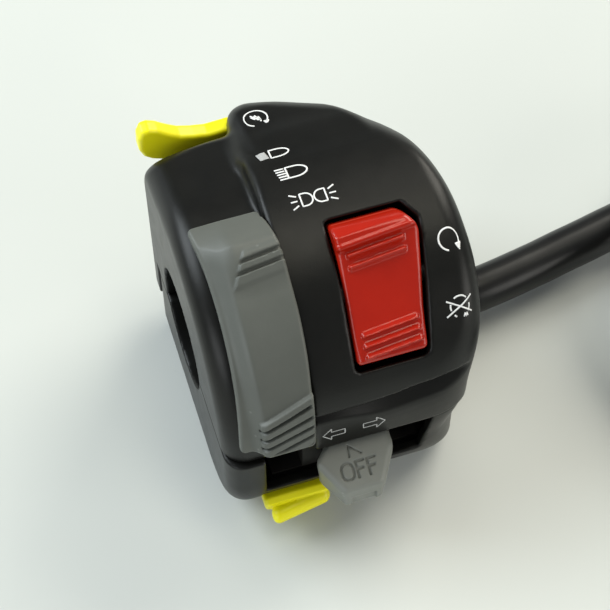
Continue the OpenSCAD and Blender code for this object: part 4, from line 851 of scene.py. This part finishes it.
solid("starter_grip", starter_field, (-24.2, 23.4, 6.8), (5.2, 29.6, 26.4), LEVER_STEP, "starter_lever",
      YELLOW, "yellow_plastic", ("starter_lever",))


# Horn lever
HORN_ARM = [(-15.0, -17.5), (-28.0, -15.9), (-28.0, -18.9), (-15.0, -21.5)]
HORN_LIP = [(-26.9, -15.9), (-29.4, -15.3), (-30.5, -15.9), (-30.2, -18.4), (-26.9, -18.9)]
HORN_HUB_R, HORN_ARM_HALF = 2.1, 4.15
HORN_LIP_X, HORN_LIP_HALF, HORN_LIP_R = -11.45, 5.95, 0.8
HORN_NOSE_AT, HORN_NOSE_R, HORN_NOSE_SCALE = (-31.9, -17.9), 1.6, 0.95
HORN_NOSE_X, HORN_NOSE_HALF, HORN_NOSE_END_R = -11.05, 5.55, 1.3
HORN_SKEW_FROM, HORN_SKEW, HORN_FILLET = -17.0, 2.4 / 11.5 * 0.8, 0.15


def horn_field(x, y, z):
    """The yellow horn lever: an arm from its pin to a two-lobed tongue."""
    from_pin = np.hypot(y - HORN_PIVOT[0], z - HORN_PIVOT[1])
    arm = np.minimum(polygon2(y, z, HORN_ARM), from_pin - HORN_HUB_R)
    arm = np.maximum(arm, np.abs(x - HORN_X) - HORN_ARM_HALF)
    lip = rmax(polygon2(y, z, HORN_LIP), np.abs(x - HORN_LIP_X) - HORN_LIP_HALF, HORN_LIP_R)
    skewed = y - HORN_NOSE_AT[0] - (x - HORN_SKEW_FROM) * HORN_SKEW
    nose = np.hypot(skewed * HORN_NOSE_SCALE, z - HORN_NOSE_AT[1]) - HORN_NOSE_R
    nose = rmax(nose, np.abs(x - HORN_NOSE_X) - HORN_NOSE_HALF, HORN_NOSE_END_R)
    full = np.minimum(arm, rmin(lip, nose, HORN_FILLET))
    return np.maximum(full, HORN_PIN_HOLE_R - from_pin)


solid("horn_grip", horn_field, (-18.0, -34.4, -22.2), (-4.6, -12, -14.6), LEVER_STEP, "horn_lever", YELLOW,
      "yellow_plastic", ("horn_lever",))


# Printed symbols, laid on the housing's surface
PRINT_ABOVE, PRINT_BELOW = 0.03, -0.12
PRINT_START, PRINT_REACH, PRINT_ROUNDS, PRINT_SPACING = 1, 2.0, 8, 0.25
HUMP_PRINT_Y, HUMP_PRINT_Z = 12.2, 29.6
LAMP_FLAT, BLOCK_ROWS = 0.38, 7


def ribbon(points, width, closed=False):
    """A flat stroke along 2D points: vertices and quads."""
    p = np.asarray(points, float)
    if closed:
        p = np.vstack([p, p[:1]])
    fine = [p[0]]
    for a, b in zip(p[:-1], p[1:]):
        n = max(1, int(math.ceil(np.linalg.norm(b - a) / PRINT_SPACING)))
        fine += [a + (b - a) * i / n for i in range(1, n + 1)]
    p = np.array(fine)
    t = np.gradient(p, axis=0)
    if closed:
        t[0] = t[-1] = p[1] - p[-2]
    t /= np.maximum(np.linalg.norm(t, axis=1, keepdims=True), 1e-9)
    side = np.stack([-t[:, 1], t[:, 0]], 1) * width / 2
    n = len(p)
    return np.vstack([p + side, p - side]), [(i, i + n, i + n + 1, i + 1) for i in range(n - 1)]


def arc(r, a0, a1, n=28):
    """Points of an arc about the origin."""
    turn = [math.radians(a0 + (a1 - a0) * i / n) for i in range(n + 1)]
    return [(r * math.cos(t), r * math.sin(t)) for t in turn]


def open_lines(*lines):
    """Strokes that don't close, from lists of points."""
    return [(line, False) for line in lines]


def on_barrel(x, angle):
    """Places 2D points about a spot of the barrel: x along the bar, y along the arc."""
    def place(p):
        a = np.radians(angle + np.degrees(p[:, 1] / BARREL_R))
        r = BARREL_R + PRINT_START
        return np.stack([x + p[:, 0], -r * np.cos(a), r * np.sin(a)], 1)
    return place


def on_hump(x, y):
    """Places 2D points on the hump's top."""
    def place(p):
        z = HUMP_PRINT_Z - (y + p[:, 1] - HUMP_PRINT_Y) * math.tan(TILT)
        return np.stack([x + p[:, 0], y + p[:, 1], z], 1)
    return place


def print_symbol(name, place, strokes, width, material=PRINT):
    """Lays strokes on the upper housing as a thin printed film."""
    verts, faces = [], []
    base = 0
    for points, closed in strokes:
        v, f = ribbon(points, width, closed)
        verts.append(v)
        faces += [tuple(i + base for i in q) for q in f]
        base += len(v)
    flat = np.vstack(verts)
    film = [settle(lambda x, y, z: upper_outer(x, y, z) - lift, place(flat), PRINT_REACH, PRINT_ROUNDS)
            for lift in (PRINT_ABOVE, PRINT_BELOW)]
    n = len(flat)
    rim = dict.fromkeys(e for q in faces for e in zip(q, q[1:] + q[:1]))
    under = [tuple(i + n for i in q[::-1]) for q in faces]
    sides = [(b, a, a + n, b + n) for a, b in rim if (b, a) not in rim]
    points = np.vstack(film)
    a, b, c = (points[i] for i in faces[0][:3])
    outward = np.cross(b - a, c - a)
    skin = faces + under + sides
    if outward[1] * a[1] + outward[2] * a[2] < 0:
        skin = [q[::-1] for q in skin]
    new_mesh(name, points, skin, "housing", material, "housing_black")


def lamp(cx, w, h, flip=1):
    """A D-shaped lamp: flat at one side, round at the other."""
    turn = [math.radians(-90 + 12 * i) for i in range(16)]
    bow = [(cx + flip * w * (LAMP_FLAT + (1 - LAMP_FLAT) * math.cos(t)), h / 2 * math.sin(t)) for t in turn]
    return [(cx, -h / 2)] + bow + [(cx, h / 2)]


def fill_block(x0, x1, half, lean):
    """Rows of strokes that fill a leaning block."""
    rows = []
    for i in range(BLOCK_ROWS):
        t = (i + 0.5) / BLOCK_ROWS
        y = half * (2 * t - 1)
        rows.append([(x0 + lean * t, y), (x1 + lean * t, y)])
    return open_lines(*rows)


def arrow(sign):
    """An outlined arrow that points along the bar."""
    half = [(1.95, 0), (0.45, 1.75), (0.45, 0.7), (-1.95, 0.7)]
    return [(sign * x, y) for x, y in half + [(x, -y) for x, y in half[:0:-1]]]


low_beam = on_barrel(-1.45, 112.8)
print_symbol("print_low_beam_lamp", low_beam, [(lamp(-1.6, 3.3, 2.0), True)], 0.28)
print_symbol("print_low_beam_rays", low_beam, fill_block(-3.5, -1.9, 0.9, -0.45), 0.3, DIM_PRINT)
rays = [[(-3.5 + 0.1 * i, 1.2 - 0.62 * i), (-1.9 + 0.05 * i, 1.2 - 0.62 * i)] for i in range(5)]
high_beam = [(lamp(-1.6, 3.5, 2.6), True)] + open_lines(*rays)
print_symbol("print_high_beam", on_barrel(-0.1, 102.4), high_beam, 0.3)
parking = [(lamp(-2.15, 2.0, 2.5), True), (lamp(2.15, 2.0, 2.5, -1), True)]
for sign in (-1, 1):
    for lift in (-1, 0, 1):
        parking += open_lines([(sign * 2.75, 0.9 * lift), (sign * 3.9, 1.5 * lift)])
print_symbol("print_parking", on_barrel(0.95, 90.5), parking, 0.27)
run_arrow = open_lines(
    arc(1.95, 250, -38, 44), [(0.8, -1.0), (2.25, -0.85)], [(0.9, -1.2), (2.15, -1.05)],
    [(1.05, -1.45), (2.0, -1.3)], [(1.2, -1.7), (1.85, -1.6)], [(1.4, -1.95), (1.7, -1.9)])
print_symbol("print_run", on_barrel(20.5, 66.0), run_arrow, 0.3)
stop_mark = open_lines(
    arc(1.8, 122, 42), arc(1.8, 160, 194, 10), arc(1.8, 4, -40, 10), [(-2.35, 1.34), (2.3, -1.5)],
    [(-2.7, -1.38), (2.7, 1.46)], [(-1.35, -1.3), (-1.0, -1.65)],
    [(0.35, -2.0), (0.6, -1.4), (0.8, -2.0), (1.05, -1.45), (1.2, -2.0)])
print_symbol("print_stop", on_barrel(19.6, 45.1), stop_mark, 0.28)
print_symbol("print_left_arrow", on_barrel(-4.8, 8.0), [(arrow(-1), True)], 0.22, DIM_PRINT)
print_symbol("print_right_arrow", on_barrel(2.4, 7.8), [(arrow(1), True)], 0.22, DIM_PRINT)
starter_mark = open_lines(
    arc(2.1, 250, -38, 44), [(1.1, -1.3), (2.1, -1.2)], [(1.15, -1.5), (2.0, -1.4)],
    [(1.3, -1.75), (1.85, -1.65)],
    [(-0.75, 0.9), (-0.2, 0.2), (0.05, 0.75), (0.3, -0.1), (0.6, 0.3), (0.75, -0.8)],
    [(-0.75, 0.5), (-0.2, -0.3), (0.05, 0.3), (0.3, -0.6), (0.6, -0.2), (0.75, -1.1)])
print_symbol("print_starter", on_hump(-2.6, 22.6), starter_mark, 0.28)


# Finish of the CAD nodes that stay as they are
NODE_LOOKS = (
    (RUBBER, ("cable_grommet",)),
    (SHEATH, ("cable_entry",)),
    (PLUG, ("cable_tie", "connector_shell")),
    (DARK, ("slider_shoe", "light_contact_plate", "kill_contact_base", "turn_carriage", "turn_tray",
            "starter_switch_block")),
    (BRASS, ("thread_inserts", "slider_contact_bridge", "kill_plunger", "kill_contacts",
             "turn_contact_bridge", "turn_contacts", "starter_plunger", "horn_moving_contact",
             "horn_fixed_contact", "connector_terminals")),
    (STEEL, ("housing_screws", "slider_detent_ball", "light_plate_screws", "kill_pivot_pin",
             "kill_base_screws", "turn_tray_screws", "starter_pivot_pin", "horn_pivot_pin", "cable_clamp",
             "cable_clamp_screws")),
)
for look, nodes in NODE_LOOKS:
    for node in nodes:
        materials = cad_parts[node].data.materials
        materials.clear()
        materials.append(look)


# Stage in metres: pale table and soft light
TABLE_HALF, TABLE_ROUGH, TABLE_NOISE = 1.5, 0.6, 6
TABLE_COLOUR, TABLE_LOW, TABLE_HIGH = (0.58, 0.6, 0.575), (0.56, 0.585, 0.56), (0.6, 0.62, 0.59)
WORLD_COLOUR, WORLD_STRENGTH = (0.9, 0.95, 1.0, 1), 0.2
table_corners = [(x * TABLE_HALF, y * TABLE_HALF, BASE_Z * MM)
                 for x, y in ((-1, -1), (1, -1), (1, 1), (-1, 1))]
table_mesh = bpy.data.meshes.new("table")
table_mesh.from_pydata(table_corners, [], [(0, 1, 2, 3)])
table = bpy.data.objects.new("table", table_mesh)
bpy.context.scene.collection.objects.link(table)
table_material, table_tree, table_surface = shader("table_white", TABLE_COLOUR, TABLE_ROUGH)
table_cloud = ramp(table_tree, noise(table_tree, TABLE_NOISE, 3), TABLE_LOW, TABLE_HIGH, 0.3, 0.7)
table_tree.links.new(table_cloud, table_surface.inputs["Base Color"])
table.data.materials.append(table_material)


def area_light(name, at, size, power, colour):
    """A soft rectangular light that faces the object."""
    data = bpy.data.lights.new(name, "AREA")
    data.shape = "RECTANGLE"
    data.size, data.size_y = size
    data.energy = power
    data.color = colour
    light = bpy.data.objects.new(name, data)
    light.location = at
    light.rotation_euler = (-Vector(at)).to_track_quat("-Z", "Y").to_euler()
    bpy.context.scene.collection.objects.link(light)


area_light("back_left", (-1.35, 1.0, 1.35), (1.44, 1.44), 48.0, (0.88, 0.96, 1.0))
area_light("back_right", (1.35, 0.9, 1.26), (1.26, 1.26), 34.0, (1.0, 0.96, 0.85))
area_light("front_left", (-1.8, -1.44, 0.9), (1.44, 1.1), 17.0, (0.94, 0.98, 1.0))
area_light("front_right", (1.6, -1.5, 0.75), (1.4, 1.1), 18.0, (1.0, 0.98, 0.92))
area_light("ceiling", (0.3, 0.16, 2.0), (1.2, 0.4), 8.0, (1.0, 0.96, 0.8))
world = bpy.data.worlds.new("studio")
world.use_nodes = True
background = world.node_tree.nodes["Background"]
background.inputs["Color"].default_value = WORLD_COLOUR
background.inputs["Strength"].default_value = WORLD_STRENGTH
bpy.context.scene.world = world
bpy.context.scene.view_settings.view_transform = "Standard"
